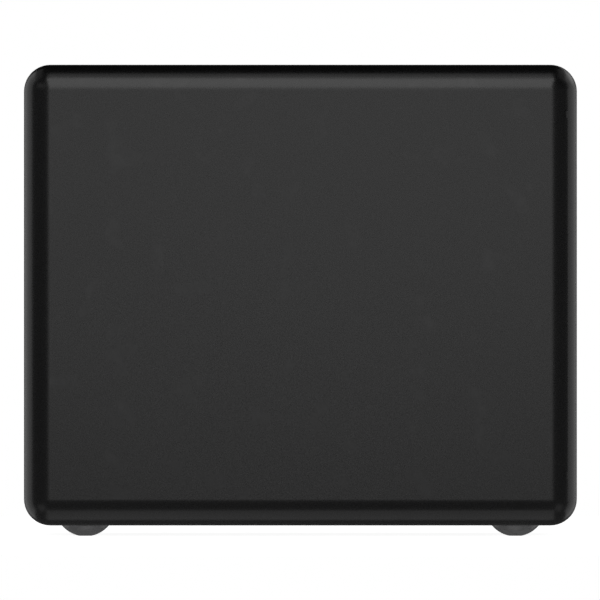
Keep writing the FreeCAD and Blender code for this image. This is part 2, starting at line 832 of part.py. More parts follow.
def rear_panel():
    piece = Piece("rear_panel")
    plate = rounded_rectangle("0", "mid_z", "insert", "insert", "window_round - fit_gap")
    piece.pad("XZ", "panel_inside", [plate], "panel_thick")
    rings = []
    for ring in range(5):
        outer = f"grille_radius - {ring} * (grille_slot + grille_bridge)"
        rings.append(circle("0", "fan_height", outer))
        rings.append(circle("0", "fan_height", f"{outer} - grille_slot"))
    piece.pocket("XZ", "panel_inside", rings, "panel_thick")
    for wide, tall in (("2 * grille_radius + 2", "spoke_wide"), ("spoke_wide", "2 * grille_radius + 2")):
        piece.pad("XZ", "panel_inside", [rectangle("0", "fan_height", wide, tall)], "panel_thick")
    fixings = corners("screw_out", "screw_out", ("0", "mid_z"))
    holes = [circle(x, z, "screw_radius + seat_gap") for x, z in fixings]
    for x, z in corners("fan_hole_pitch / 2", "fan_hole_pitch / 2", ("0", "fan_height")):
        holes.append(circle(x, z, "2.2"))
    holes.append(rounded_rectangle("lock_across", "lock_height", "lock_wide", "lock_tall", "0.6"))
    holes.append(circle(DC_X, f"board_top + {DC_TALL} - 5", "jack_collar + fit_gap"))
    for socket in REAR_SOCKETS:
        holes.append(socket.opening())
    piece.pocket("XZ", "panel_inside", holes, "panel_thick")
    subpart(piece.body, "rear_panel")

    panel_screw = screw("panel_screw", 2.6, 1.2, 1.25, 10)
    places = [(x, "panel_face", z) for x, z in fixings]
    subpart(copies(panel_screw, places, REARWARD), "rear_panel_screws")


# ---- tray and main board ----


STANDOFFS = [
    ("-standoff_x", "-standoff_front"),
    ("standoff_x", "-standoff_front"),
    ("-standoff_x", "standoff_rear"),
    ("standoff_x", "standoff_rear"),
]


def chassis_tray():
    piece = Piece("chassis_tray")
    piece.pad("XY", "tray_low", [rectangle("0", "0", "tray_wide", "tray_deep")], "tray_thick")
    for side in (-1, 1):
        notch = rectangle(f"{side} * tray_wide / 2", "tray_deep / 2", "12", "26")
        piece.pocket("XY", "tray_low", [notch], "tray_thick")
        flange = rectangle(f"{side} * (tray_wide - tray_thick) / 2", "-6", "tray_thick", "tray_deep - 30")
        piece.pad("XY", "tray_top", [flange], "tray_flange")
    windows = [
        rounded_rectangle("0", "-2", "60", "70", "4"),
        rounded_rectangle("4", "57", "16", "8", "1"),
    ]
    piece.pocket("XY", "tray_low", windows, "tray_thick")
    holes = [circle(x, y, "screw_radius + seat_gap") for x, y in corners("post_x", "post_y")]
    holes += [circle(x, y, "1.5 + seat_gap") for x, y in STANDOFFS]
    piece.pocket("XY", "tray_low", holes, "tray_thick")
    subpart(piece.body, "chassis_tray")

    tray_screw = screw("tray_screw", 2.6, 1.2, 1.25, 6)
    subpart(copies(tray_screw, [(x, y, "tray_top") for x, y in corners("post_x", "post_y")]), "tray_screws")


def board_standoffs():
    piece = Piece("standoff")
    piece.pad("XY", "0", [circle("0", "0", "standoff_radius")], "standoff_tall")
    piece.pad("XY", "0", [circle("0", "0", "1.5")], "tray_thick", toward=-1)
    piece.pocket("XY", "standoff_tall", [circle("0", "0", "screw_radius + bore_gap")], "5", toward=-1)
    subpart(copies(piece.body, [(x, y, "tray_top") for x, y in STANDOFFS]), "board_standoffs")


def main_board():
    piece = Piece("main_board")
    plate = rectangle("0", "(board_rear - board_front) / 2", "board_wide", "board_rear + board_front")
    piece.pad("XY", "board_low", [plate], "board_thick")
    cooler_holes = corners("cooler_hole", "cooler_hole", ("0", "cpu_y"))
    holes = [circle(x, y, "screw_radius + seat_gap") for x, y in STANDOFFS + cooler_holes]
    piece.pocket("XY", "board_low", holes, "board_thick")
    subpart(piece.body, "main_board")
    board_screw = screw("board_screw", 2.5, 1.2, 1.25, 5.5)
    subpart(copies(board_screw, [(x, y, "board_top") for x, y in STANDOFFS]), "board_screws")


def board_components():
    """A row of coils to the left of the processor, a row of cans to its right, and four chips."""
    chokes, cans = [], []
    for step in range(5):
        along = f"-4 + {step} * part_pitch"
        chokes.append(middle_block(("-43", along), "board_top", ("7", "7", "4")))
        cans.append(rod(("43", along, "board_top"), "3.15", "6"))
    subpart(group(chokes), "power_chokes")
    subpart(group(cans), "capacitors")
    spots = (("-12", "46", "9"), ("6", "46", "9"), ("38", "44", "7"), ("22", "-58", "6"))
    chips = [middle_block((x, y), "board_top", (side, side, "0.9")) for x, y, side in spots]
    subpart(group(chips), "board_chips")
    subpart(rod(("24", "54", "board_low - 4"), "10", "3.2"), "coin_cell")


def memory():
    """Two memory modules lie one above the other in their latching sockets."""
    rows = (("memory_module_lower", "-16", "4"), ("memory_module_upper", "-9.6", "9"))
    bars = []
    for label, rear_y, tall in rows:
        bar = block(("-36", f"{rear_y} - 5.6", "board_top"), ("72", "5.4", tall))
        groove = block(("-34", f"{rear_y} - 6.6", f"board_top + {tall} - 2.2"), ("68", "4", "1.2"))
        bars.append(cut(bar, [groove]))
    subpart(group(bars), "memory_sockets")
    for label, rear_y, tall in rows:
        low_z = f"board_top + {tall} - 2.1"
        pieces = [block(("-memory_wide / 2", f"{rear_y} - 32.8", low_z), ("memory_wide", "memory_deep", "1"))]
        for step in range(4):
            low = (f"-31 + {step} * (memory_chip_wide + 4)", f"{rear_y} - 28", f"{low_z} + 1")
            pieces.append(block(low, ("memory_chip_wide", "memory_chip_deep", "1")))
        subpart(fuse(pieces), label)


def expansion_cards():
    """A drive card and a radio card under the board, each in an edge socket and held by one screw."""
    low_z = "board_low - 3.2"
    ssd_socket = cut(
        block(("-43", "-57", "board_low - 4"), ("6", "22", "4")),
        [block(("-39", "-58", "board_low - 3.3"), ("6", "24", "1"))],
    )
    radio_socket = cut(
        block(("-8", "42", "board_low - 4"), ("6", "22", "4")),
        [block(("-10", "41", "board_low - 3.3"), ("6", "24", "1"))],
    )
    fan_header = middle_block(("-36", "44"), "board_top", ("8", "6", "5.5"))
    drive_header = middle_block(("4", "57"), "board_low - 3", ("13", "5", "3"))
    subpart(group([ssd_socket, radio_socket, fan_header, drive_header]), "board_sockets")

    ssd_plate = block(("-38.8", "-57", low_z), ("80", "card_wide", "card_thick"))
    ssd_chips = []
    for step in range(3):
        low = (f"-33 + {step} * 23", "-54", f"{low_z} - card_chip_tall")
        ssd_chips.append(block(low, ("18", "16", "card_chip_tall")))
    ssd_hole = rod(("40", "-46", f"{low_z} - 1"), "screw_radius + seat_gap", "3")
    subpart(cut(fuse([ssd_plate] + ssd_chips), [ssd_hole]), "ssd_module")

    radio_plate = block(("-36.2", "42", low_z), ("30", "card_wide", "card_thick"))
    can = block(("-30", "44.5", f"{low_z} - 1.4"), ("16", "17", "1.4"))
    radio_hole = rod(("-34.8", "53", f"{low_z} - 1"), "screw_radius + seat_gap", "3")
    subpart(cut(fuse([radio_plate, can]), [radio_hole]), "radio_card")

    card_screw = screw("card_screw", 2, 0.8, 1.25, 2.6)
    subpart(copies(card_screw, [("40", "-46", low_z), ("-34.8", "53", low_z)], DOWN), "card_screws")


# ---- cooler ----


def cpu_package():
    carrier = middle_block(("0", "cpu_y"), "board_top", ("cpu_wide", "cpu_deep", "cpu_thick"))
    die = middle_block(("0", "cpu_y"), "board_top + cpu_thick", ("die_wide", "die_deep", "die_thick"))
    subpart(fuse([carrier, die]), "cpu_package")


def cooler_base():
    low = middle_block(("0", "cpu_y"), "die_top", ("base_wide", "base_deep", "base_shoulder"))
    high = middle_block(("0", "cpu_y"), "die_top", ("base_wide", "base_top_deep", "base_tall"))
    bores = []
    for lane in (-1, 0, 1):
        start = ("-base_wide / 2 - 1", f"cpu_y + {lane} * pipe_pitch", "pipe_z")
        bores.append(rod(start, "pipe_radius + bore_gap", "base_wide + 2", SIDEWARD))
    subpart(cut(fuse([low, high]), bores), "cooler_base")


def heat_pipes():
    """Each pipe runs through the base and bends up at both ends through the fins."""
    master = Piece("heat_pipe")
    corner_x, top = number("pipe_rise_x"), number("pipe_top")
    bend, low = number("pipe_bend"), number("pipe_z")
    spine = master.sketch("XZ", "0", [])
    side = math.cos(math.radians(45)) * bend
    for mirror in (-1, 1):
        rise = FreeCAD.Vector(mirror * corner_x, low + bend, 0)
        run = FreeCAD.Vector(mirror * (corner_x - bend), low, 0)
        middle = FreeCAD.Vector(mirror * (corner_x - bend + side), low + bend - side, 0)
        spine.addGeometry(Part.LineSegment(FreeCAD.Vector(rise.x, top, 0), rise), False)
        spine.addGeometry(Part.Arc(rise, middle, run), False)
    ends = [FreeCAD.Vector(mirror * (corner_x - bend), low, 0) for mirror in (-1, 1)]
    spine.addGeometry(Part.LineSegment(*ends), False)
    ring = master.sketch("XY", "pipe_top", [circle("-pipe_rise_x", "0", "pipe_radius")])
    pipe = master.body.newObject("PartDesign::AdditivePipe", "pipe")
    pipe.Profile = ring
    pipe.Spine = spine
    places = [("0", f"cpu_y + {lane} * pipe_pitch", "0") for lane in (-1, 0, 1)]
    subpart(copies(master.body, places), "heat_pipes")


def cooler_fins():
    piece = Piece("cooler_fins")
    holes = []
    for x in (-1, 1):
        for lane in (-1, 0, 1):
            middle = (f"{x} * pipe_rise_x", f"cpu_y + {lane} * pipe_pitch")
            holes.append(circle(*middle, "pipe_radius + bore_gap"))
    plate = rectangle("0", "cpu_y", "fin_wide", "fin_deep")
    fin = piece.pad("XY", "fin_low", [plate] + holes, "fin_thick")
    piece.repeat(fin, [("Z", "fin_count", "fin_pitch")])
    subpart(piece.body, "cooler_fins")


def cooler_mounting():
    holes = corners("cooler_hole", "cooler_hole", ("0", "cpu_y"))
    bars = Piece("cooler_brackets")
    outlines = []
    for side in (-1, 1):
        middle = f"cpu_y + {side} * (base_top_deep / 2 + seat_gap + bar_deep / 2)"
        outlines.append(rectangle("0", middle, "bar_wide", "bar_deep"))
    outlines += [circle(x, y, "screw_radius + seat_gap") for x, y in holes]
    bars.pad("XY", "shoulder_z", outlines, "bar_thick")
    subpart(bars.body, "cooler_brackets")

    plate = Piece("cooler_backplate")
    outlines = [
        rounded_rectangle("0", "cpu_y", "backplate_wide", "backplate_wide", "4"),
        rounded_rectangle("0", "cpu_y", "backplate_window", "backplate_window", "2"),
    ]
    outlines += [circle(x, y, "screw_radius + bore_gap") for x, y in holes]
    plate.pad("XY", "board_low - backplate_thick - seat_gap", outlines, "backplate_thick")
    subpart(plate.body, "cooler_backplate")

    long = number("spring_top - board_low + backplate_thick")
    cooler_screw = screw("cooler_screw", 2.9, 1.4, 1.25, round(long, 3))
    subpart(copies(cooler_screw, [(x, y, "spring_top") for x, y in holes]), "cooler_screws")

    coil = doc.addObject("Part::Helix", "spring_path")
    bind(coil, "Pitch", "(spring_tall - 2 * spring_wire - 0.1) / 4")
    bind(coil, "Height", "spring_tall - 2 * spring_wire - 0.1")
    bind(coil, "Radius", "spring_radius")
    wire = doc.addObject("Part::RegularPolygon", "spring_wire_section")
    wire.Polygon = 6
    bind(wire, "Circumradius", "spring_wire")
    wire.Placement = FreeCAD.Placement(FreeCAD.Vector(), FRONTWARD)
    settle(wire, ("spring_radius", "0", "0"))
    spring = doc.addObject("Part::Sweep", "spring")
    spring.Sections = [wire]
    spring.Spine = (coil, [])
    spring.Solid = True
    spring.Frenet = True
    places = [(x, y, "bar_top + spring_wire + 0.05") for x, y in holes]
    subpart(copies(spring, places), "cooler_springs")


# ---- fan, modelled about its own Z axis with the outlet side up, then turned to blow rearward ----


def place_fan(body):
    body.Placement = FreeCAD.Placement(FreeCAD.Vector(), REARWARD)
    settle(body, ("0", "fan_front", "fan_height"))
    return body


def fan_frame():
    piece = Piece("fan_frame")
    flange = rounded_rectangle("0", "0", "fan_size", "fan_size", "4")
    piece.pad("XY", "0", [flange], "fan_flange")
    piece.pad("XY", "fan_deep - fan_flange", [flange], "fan_flange")
    piece.pad("XY", "0", [circle("0", "0", "fan_bore + fan_wall")], "fan_deep")
    piece.pocket("XY", "0", [circle("0", "0", "fan_bore")], "fan_deep")
    piece.pad("XY", "fan_deep - hub_plate", [circle("0", "0", "hub_radius")], "hub_plate")
    bar = rectangle("fan_bore / 2 + 6", "0", "fan_bore - 10", "strut_wide")
    strut = piece.pad("XY", "fan_deep - hub_plate", [bar], "hub_plate")
    piece.around(strut, "4")
    piece.pad("XY", "sleeve_front", [circle("0", "0", "sleeve_radius + 1.5")], "12")
    piece.pocket("XY", "sleeve_front", [circle("0", "0", "sleeve_radius + bore_gap")], "12.5")
    holes = [circle(x, y, "fan_hole") for x, y in corners("fan_hole_pitch / 2", "fan_hole_pitch / 2")]
    piece.pocket("XY", "0", holes, "fan_deep")
    subpart(place_fan(piece.body), "fan_frame")


def fan_motor():
    sleeve = Piece("fan_bearing")
    rings = [circle("0", "0", "sleeve_radius"), circle("0", "0", "shaft_radius + shaft_gap")]
    sleeve.pad("XY", "sleeve_front", rings, "11")
    subpart(place_fan(sleeve.body), "fan_bearing")

    stator = Piece("fan_stator")
    rings = [circle("0", "0", "hub_radius - 4"), circle("0", "0", "sleeve_radius + 1.7")]
    stator.pad("XY", "sleeve_front + 1", rings, "9")
    for step in range(4):
        angle = math.radians(45 + 90 * step)
        x, y = round(10.5 * math.cos(angle), 3), round(10.5 * math.sin(angle), 3)
        stator.pocket("XY", "sleeve_front + 1", [circle(x, y, "2.2")], "9")
    subpart(place_fan(stator.body), "fan_stator")

    shaft = Piece("fan_shaft")
    shaft.pad("XY", "5", [circle("0", "0", "shaft_radius")], "fan_deep - 9")
    subpart(place_fan(shaft.body), "fan_shaft")


def fan_rotor():
    piece = Piece("fan_rotor")
    cup = [
        ("shaft_radius + bore_gap", "hub_front"),
        ("hub_radius - 1.5", "hub_front"),
        ("hub_radius", "hub_front + 1.5"),
        ("hub_radius", "hub_front + hub_deep"),
        ("hub_radius - hub_wall", "hub_front + hub_deep"),
        ("hub_radius - hub_wall", "hub_front + hub_wall"),
        ("shaft_radius + 2", "hub_front + hub_wall"),
        ("shaft_radius + 2", "9.5"),
        ("shaft_radius + bore_gap", "9.5"),
    ]
    piece.turned(polygon(cup))
    profiles = []
    for radius, chord, rise in (
        ("hub_radius - 0.6", "blade_root_chord", "blade_root_rise"),
        ("blade_tip", "blade_tip_chord", "blade_tip_rise"),
    ):
        blade = polygon([
            (f"-{chord} / 2", f"12 - {rise} / 2"),
            (f"{chord} / 2", f"12 + {rise} / 2"),
            (f"{chord} / 2", f"12 + {rise} / 2 + blade_thick"),
            (f"-{chord} / 2", f"12 - {rise} / 2 + blade_thick"),
        ])
        profiles.append(piece.sketch("XZ", radius, [blade]))
    loft = piece.body.newObject("PartDesign::AdditiveLoft", "blade")
    loft.Profile = profiles[0]
    loft.Sections = [profiles[1]]
    loft.Ruled = True
    piece.around(loft, "blade_count")
    subpart(place_fan(piece.body), "fan_rotor")


def fan_fixings():
    fan_screw = screw("fan_screw", 3.6, 1.1, 2.1, 8)
    holes = corners("fan_hole_pitch / 2", "fan_hole_pitch / 2", ("0", "fan_height"))
    subpart(copies(fan_screw, [(x, "panel_face", z) for x, z in holes], REARWARD), "fan_screws")

    piece = Piece("fan_cable")
    bend = 3
    lift, run, drop = 42.5, 44, number("board_top + 5.7")
    spine = piece.sketch("YZ", "-36", [])
    start = FreeCAD.Vector(number("fan_front") - 0.2, lift + bend, 0)
    turn_in = FreeCAD.Vector(run + bend - 0.5, lift + bend, 0)
    turn_out = FreeCAD.Vector(run - 0.5, lift, 0)
    side = bend * math.cos(math.radians(45))
    middle = FreeCAD.Vector(turn_in.x - side, turn_out.y + side, 0)
    spine.addGeometry(Part.LineSegment(start, turn_in), False)
    spine.addGeometry(Part.Arc(turn_in, middle, turn_out), False)
    spine.addGeometry(Part.LineSegment(turn_out, FreeCAD.Vector(turn_out.x, drop, 0)), False)
    ring = piece.sketch("XZ", start.x, [circle("-36", start.y, "1.1")])
    cable = piece.body.newObject("PartDesign::AdditivePipe", "cable")
    cable.Profile = ring
    cable.Spine = spine
    subpart(piece.body, "fan_cable")


# ---- drive ----


def drive_bay():
    middle_z = "drive_low + 4"
    drive = middle_block(("0", "0"), "drive_low", ("drive_wide", "drive_deep", "drive_tall"))
    plug = middle_block(("8", "drive_deep / 2 + 1"), "drive_low + 1.2", ("32", "2.4", "3"))
    tapped = []
    for side, turn in ((-1, SIDEWARD), (1, OTHER_SIDEWARD)):
        for y in ("-drive_hole_y", "drive_hole_y"):
            start = (f"{side} * (drive_wide / 2 + 1)", y, middle_z)
            tapped.append(rod(start, "screw_radius + bore_gap", "5", turn))
    subpart(cut(fuse([drive, plug]), tapped), "storage_drive")

    top_size = ("drive_wide + 2 * (caddy_wall + seat_gap)", "caddy_deep", "0.45")
    top = middle_block(("0", "0"), "drive_low + drive_tall + seat_gap", top_size)
    walls = []
    for side in (-1, 1):
        middle = f"{side} * (drive_wide / 2 + seat_gap + caddy_wall / 2)"
        low_z = "ledge_z + ledge_thick + fit_gap"
        tall = f"drive_low + drive_tall + 0.5 - ({low_z})"
        walls.append(middle_block((middle, "0"), low_z, ("caddy_wall", "caddy_deep", tall)))
    holes = []
    for y in ("-drive_hole_y", "drive_hole_y"):
        start = ("-drive_wide / 2 - 3", y, middle_z)
        holes.append(rod(start, "screw_radius + seat_gap", "drive_wide + 6", SIDEWARD))
    subpart(cut(fuse([top] + walls), holes), "drive_caddy")

    drive_screw = screw("drive_screw", 2.3, 0.9, 1.25, 3.8)
    rows = []
    for side, turn in ((-1, OTHER_SIDEWARD), (1, SIDEWARD)):
        across = f"{side} * (drive_wide / 2 + seat_gap + caddy_wall)"
        places = [(across, y, middle_z) for y in ("-drive_hole_y", "drive_hole_y")]
        rows.append(copies(drive_screw, places, turn))
    subpart(group(rows), "drive_screws")

    strap = Piece("drive_cable")
    near, far = "drive_deep / 2 + 2.4", "57"
    low, high = "drive_low + 2.4", "board_low - 3.2"
    ribbon = polygon([
        (near, low),
        (f"{far} + 0.5", low),
        (f"{far} + 0.5", high),
        (f"{far} - 0.5", high),
        (f"{far} - 0.5", f"{low} + 1"),
        (near, f"{low} + 1"),
    ])
    strap.pad("YZ", "-1", [ribbon], "10")
    subpart(strap.body, "drive_cable")


def build():
    case_shell()
    feet()
    bottom_hatch()
    front_bezel()
    dust_filter()
    power_button()
    power_switch()
    sockets()
    dc_jack()
    audio_jack()
    rear_panel()
    chassis_tray()
    board_standoffs()
    main_board()
    board_components()
    memory()
    expansion_cards()
    cpu_package()
    cooler_base()
    heat_pipes()
    cooler_fins()
    cooler_mounting()
    fan_frame()
    fan_motor()
    fan_rotor()
    fan_fixings()
    drive_bay()
    doc.recompute()


def check():
    """Stop if any object failed or any sub-part has no sound solid."""
    faults = [f"{item.Name}: {item.State}" for item in doc.Objects if {"Invalid", "Error"} & set(item.State)]
    for item in SUBPARTS:
        if item.Shape.isNull() or not item.Shape.isValid() or not item.Shape.Solids:
            faults.append(f"{item.Label}: no sound solid")
    if faults:
        raise RuntimeError("; ".join(faults))


def write():
    os.makedirs("parts", exist_ok=True)
    for item in SUBPARTS:
        item.Shape.exportStep(f"parts/{item.Label}.step")
        print(f"{item.Label}: {len(item.Shape.Solids)} solids, {item.Shape.Volume:.0f} mm3")


build()
check()
write()
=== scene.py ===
"""Looks of a small upright desktop computer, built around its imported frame.

Metres. +Z is up and the front faces -Y. Every place comes from the boxes of the frame's nodes.
"""

import json
import logging
import math
from dataclasses import dataclass, field
from enum import Enum
from typing import Callable, Iterable, Optional, Sequence, Union

import bmesh
import bpy
from mathutils import Matrix, Vector


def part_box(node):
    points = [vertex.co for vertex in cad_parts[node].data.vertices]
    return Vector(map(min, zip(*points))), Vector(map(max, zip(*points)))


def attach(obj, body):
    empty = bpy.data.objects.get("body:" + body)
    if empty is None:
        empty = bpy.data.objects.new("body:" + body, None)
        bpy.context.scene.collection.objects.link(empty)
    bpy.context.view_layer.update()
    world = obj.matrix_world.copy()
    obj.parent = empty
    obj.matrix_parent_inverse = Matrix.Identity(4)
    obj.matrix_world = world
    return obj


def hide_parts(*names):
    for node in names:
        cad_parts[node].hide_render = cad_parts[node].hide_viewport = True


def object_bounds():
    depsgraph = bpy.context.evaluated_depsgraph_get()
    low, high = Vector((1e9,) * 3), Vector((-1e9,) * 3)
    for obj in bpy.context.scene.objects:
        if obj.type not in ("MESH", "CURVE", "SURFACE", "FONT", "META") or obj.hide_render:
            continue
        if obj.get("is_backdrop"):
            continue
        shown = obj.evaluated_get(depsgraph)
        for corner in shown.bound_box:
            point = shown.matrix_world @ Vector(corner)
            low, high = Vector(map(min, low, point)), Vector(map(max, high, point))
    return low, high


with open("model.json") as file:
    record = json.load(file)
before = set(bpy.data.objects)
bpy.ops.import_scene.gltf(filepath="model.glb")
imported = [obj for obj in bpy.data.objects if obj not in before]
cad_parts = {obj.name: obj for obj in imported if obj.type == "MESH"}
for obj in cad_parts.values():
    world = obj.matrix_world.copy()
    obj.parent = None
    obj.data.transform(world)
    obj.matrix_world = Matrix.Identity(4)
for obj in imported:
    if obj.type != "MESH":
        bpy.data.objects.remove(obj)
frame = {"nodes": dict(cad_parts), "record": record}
CAD_LOW, CAD_HIGH = (tuple(corner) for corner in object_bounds())
MM = 0.001
CASE_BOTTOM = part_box("case_shell")[0][2]

logging.basicConfig(level=logging.INFO, format="%(name)s: %(message)s")
log = logging.getLogger("mini_pc")


# ---- shader graphs ----


Socket = bpy.types.NodeSocket


def operation(name: str, reflected: bool = False) -> Callable[["Channel", "Value"], "Channel"]:
    """Write a method that adds one Math node.

    Args:
        name: The node's operation.
        reflected: Whether the channel comes second.

    Returns:
        The method.
    """

    def method(self: "Channel", other: "Value") -> "Channel":
        """Join the channel and another number."""
        first, second = (other, self) if reflected else (self, other)
        made = self.graph.node("ShaderNodeMath", {"operation": name}, {0: first, 1: second})
        return Channel(self.graph, made.outputs[0])

    return method


class Channel:
    """One output socket of a shader graph, with arithmetic on the number it carries."""

    def __init__(self, graph: "Wiring", socket: Socket) -> None:
        """Keep the socket and the graph that it belongs to."""
        self.graph = graph
        self.socket = socket

    __add__ = operation("ADD")
    __radd__ = operation("ADD", reflected=True)
    __sub__ = operation("SUBTRACT")
    __rsub__ = operation("SUBTRACT", reflected=True)
    __mul__ = operation("MULTIPLY")
    low = operation("MINIMUM")
    high = operation("MAXIMUM")
    ping_pong = operation("PINGPONG")

    def fold(self, period: float) -> "Channel":
        """Distance to the nearest multiple of a period."""
        return self.ping_pong(period / 2)

    def fall(self, start: float, end: float) -> "Channel":
        """A straight fall from one at start to zero at end."""
        return ((end - self) * (1.0 / (end - start))).low(1.0).high(0.0)

    def ramp(self, start: float, end: float, low: float = 0.0, high: float = 1.0) -> "Channel":
        """A smooth step from one level to another.

        Args:
            start: The number where the step starts.
            end: The number where it ends, which may be below start.
            low: The level at start.
            high: The level at end.

        Returns:
            The stepped number.
        """
        flip = end < start
        ends = (end, start, high, low) if flip else (start, end, low, high)
        settings = {"interpolation_type": "SMOOTHSTEP"}
        sockets = dict(zip(("From Min", "From Max", "To Min", "To Max"), ends))
        made = self.graph.node("ShaderNodeMapRange", settings, {"Value": self, **sockets})
        return Channel(self.graph, made.outputs["Result"])


Value = Union[float, Channel]
Colour = tuple[float, float, float]
Tint = Union[Colour, Socket]


class Wiring:
    """A node tree that nodes are added to."""

    def __init__(self, tree: bpy.types.NodeTree) -> None:
        """Keep the tree."""
        self.tree = tree

    def node(
        self, kind: str, settings: Optional[dict] = None, sockets: Optional[dict] = None
    ) -> bpy.types.Node:
        """Add any node.

        Args:
            kind: The node's type.
            settings: Its own properties, set first.
            sockets: A number, colour, socket or Channel for each input, by name or number.

        Returns:
            The node.
        """
        made = self.tree.nodes.new(kind)
        for key, value in (settings or {}).items():
            setattr(made, key, value)
        for key, value in (sockets or {}).items():
            self.feed(made.inputs[key], value)
        return made

    def feed(self, socket: Socket, value: object) -> None:
        """Link an input to a socket or a Channel, or set its number or colour."""
        if isinstance(value, (Channel, Socket)):
            self.tree.links.new(value.socket if isinstance(value, Channel) else value, socket)
        elif isinstance(value, tuple) and len(value) == 3 and socket.type == "RGBA":
            socket.default_value = (*value, 1.0)
        else:
            socket.default_value = value


class Graph(Wiring):
    """The node tree of one material, with its shader."""

    def __init__(self, name: str) -> None:
        """Start a material that has one Principled shader.

        Args:
            name: The material's name.
        """
        self.material = bpy.data.materials.new(name)
        self.material.use_nodes = True
        super().__init__(self.material.node_tree)
        self.shader = self.tree.nodes["Principled BSDF"]
        self.place = self.node("ShaderNodeTexCoord").outputs["Object"]

    def set(self, **values: object) -> None:
        """Set or link the shader's sockets, named with underscores for spaces."""
        for key, value in values.items():
            self.feed(self.shader.inputs[key.replace("_", " ").title()], value)

    def axis(self, name: str) -> Channel:
        """The piece's own X, Y or Z coordinate in metres."""
        return Channel(self, self.node("ShaderNodeSeparateXYZ", None, {0: self.place}).outputs[name])

    def noise(self, grain: float, detail: float = 3.0, stretch: Colour = (1.0, 1.0, 1.0)) -> Channel:
        """Smooth noise from 0 to 1.

        Args:
            grain: The size of one blotch in metres.
            detail: Levels of finer noise.
            stretch: How much longer the blotches are along each axis.

        Returns:
            The noise.
        """
        scale = tuple(1.0 / (grain * along) for along in stretch)
        spot = self.node("ShaderNodeMapping", None, {"Vector": self.place, "Scale": scale}).outputs[0]
        sockets = {"Vector": spot, "Scale": 1.0, "Detail": detail, "Roughness": 0.55}
        return Channel(self, self.node("ShaderNodeTexNoise", None, sockets).outputs["Fac"])

    def cells(self, grain: float) -> bpy.types.Node:
        """A Voronoi pattern whose cells are about grain metres across."""
        return self.node("ShaderNodeTexVoronoi", None, {"Vector": self.place, "Scale": 1.0 / grain})

    def blend(self, first: Tint, second: Tint, factor: Value) -> Socket:
        """Mix two colours."""
        made = self.node("ShaderNodeMix", {"data_type": "RGBA"}, {"Factor": factor})
        self.feed(made.inputs[6], first)
        self.feed(made.inputs[7], second)
        return made.outputs[2]

    def bump(self, height: Channel, depth: float) -> Socket:
        """Turn a height from 0 to 1 into a relief of a real depth in metres."""
        sockets = {"Height": height, "Distance": depth, "Strength": 1.0}
        return self.node("ShaderNodeBump", None, sockets).outputs[0]


# ---- finishes ----


@dataclass(frozen=True)
class Finish:
    """A material that has a name, a colour and a roughness."""

    name: str
    colour: Colour
    roughness: float = 0.4

    def material(self) -> bpy.types.Material:
        """Make the material, once.

        Returns:
            The material, the same one on each call.
        """
        name = self.name + "_look"
        known = bpy.data.materials.get(name)
        if known is None:
            graph = Graph(name)
            self.paint(graph)
            known = graph.material
        return known

    def tint(self, times: float, more: float = 0.0) -> Colour:
        """The colour made darker or paler."""
        return tuple(min(1.0, part * times + more) for part in self.colour)

    def paint(self, graph: Graph) -> None:
        """Fill a new graph. Each finish has its own way."""
        raise NotImplementedError


@dataclass(frozen=True)
class MouldedPlastic(Finish):
    """Fine-grained moulded plastic with faint handling marks."""

    grain: float = 0.35 * MM
    grain_depth: float = 0.004 * MM
    flow_grain: float = 22 * MM
    marks: float = 0.05
    mark_grain: float = 9 * MM
    coat: float = 0.0
    coat_roughness: float = 0.12

    def paint(self, graph: Graph) -> None:
        """Fill the graph with a spark-eroded grain, flow blotches and rubbed patches."""
        grain = graph.noise(self.grain, 2.0)
        flow = graph.noise(self.flow_grain, 2.0)
        rubbed = graph.noise(self.mark_grain, 5.0).ramp(0.56, 0.74)
        graph.set(
            base_color=graph.blend(self.tint(0.86), self.colour, flow.ramp(0.3, 0.7) * 0.7 + grain * 0.3),
            roughness=self.roughness + (grain - 0.5) * 0.06 - rubbed * self.marks,
            normal=graph.bump(grain, self.grain_depth),
            coat_weight=self.coat,
            coat_roughness=self.coat_roughness,
        )


@dataclass(frozen=True)
class SoftRubber(Finish):
    """Dusty elastomer with a moulded bloom."""

    bloom: float = 2.2 * MM
    grain: float = 0.18 * MM
    grain_depth: float = 0.003 * MM

    def paint(self, graph: Graph) -> None:
        """Fill the graph with a bloom and a very fine grain."""
        bloom = graph.noise(self.bloom, 4.0).ramp(0.4, 0.75)
        grain = graph.noise(self.grain, 2.0)
        graph.set(
            base_color=graph.blend(self.colour, self.tint(1.2), bloom * 0.6),
            roughness=self.roughness + bloom * 0.08 + (grain - 0.5) * 0.05,
            normal=graph.bump(grain, self.grain_depth),
        )


@dataclass(frozen=True)
class PowderCoat(Finish):
    """Baked paint on steel, with an orange-peel surface and rare chips."""

    peel: float = 0.9 * MM
    peel_depth: float = 0.02 * MM
    speck: float = 0.25 * MM
    chip: float = 1.6 * MM

    def paint(self, graph: Graph) -> None:
        """Fill the graph with peel, speckle and a few worn specks."""
        peel = graph.noise(self.peel, 2.0)
        speckle = graph.noise(self.speck, 1.0).ramp(0.6, 0.72)
        worn = graph.noise(self.chip, 6.0).ramp(0.74, 0.8)
        pale = self.tint(1.8, 0.01)
        graph.set(
            base_color=graph.blend(self.colour, pale, speckle * 0.5 + worn * 0.5),
            roughness=self.roughness + (peel - 0.5) * 0.12,
            normal=graph.bump(peel, self.peel_depth),
        )


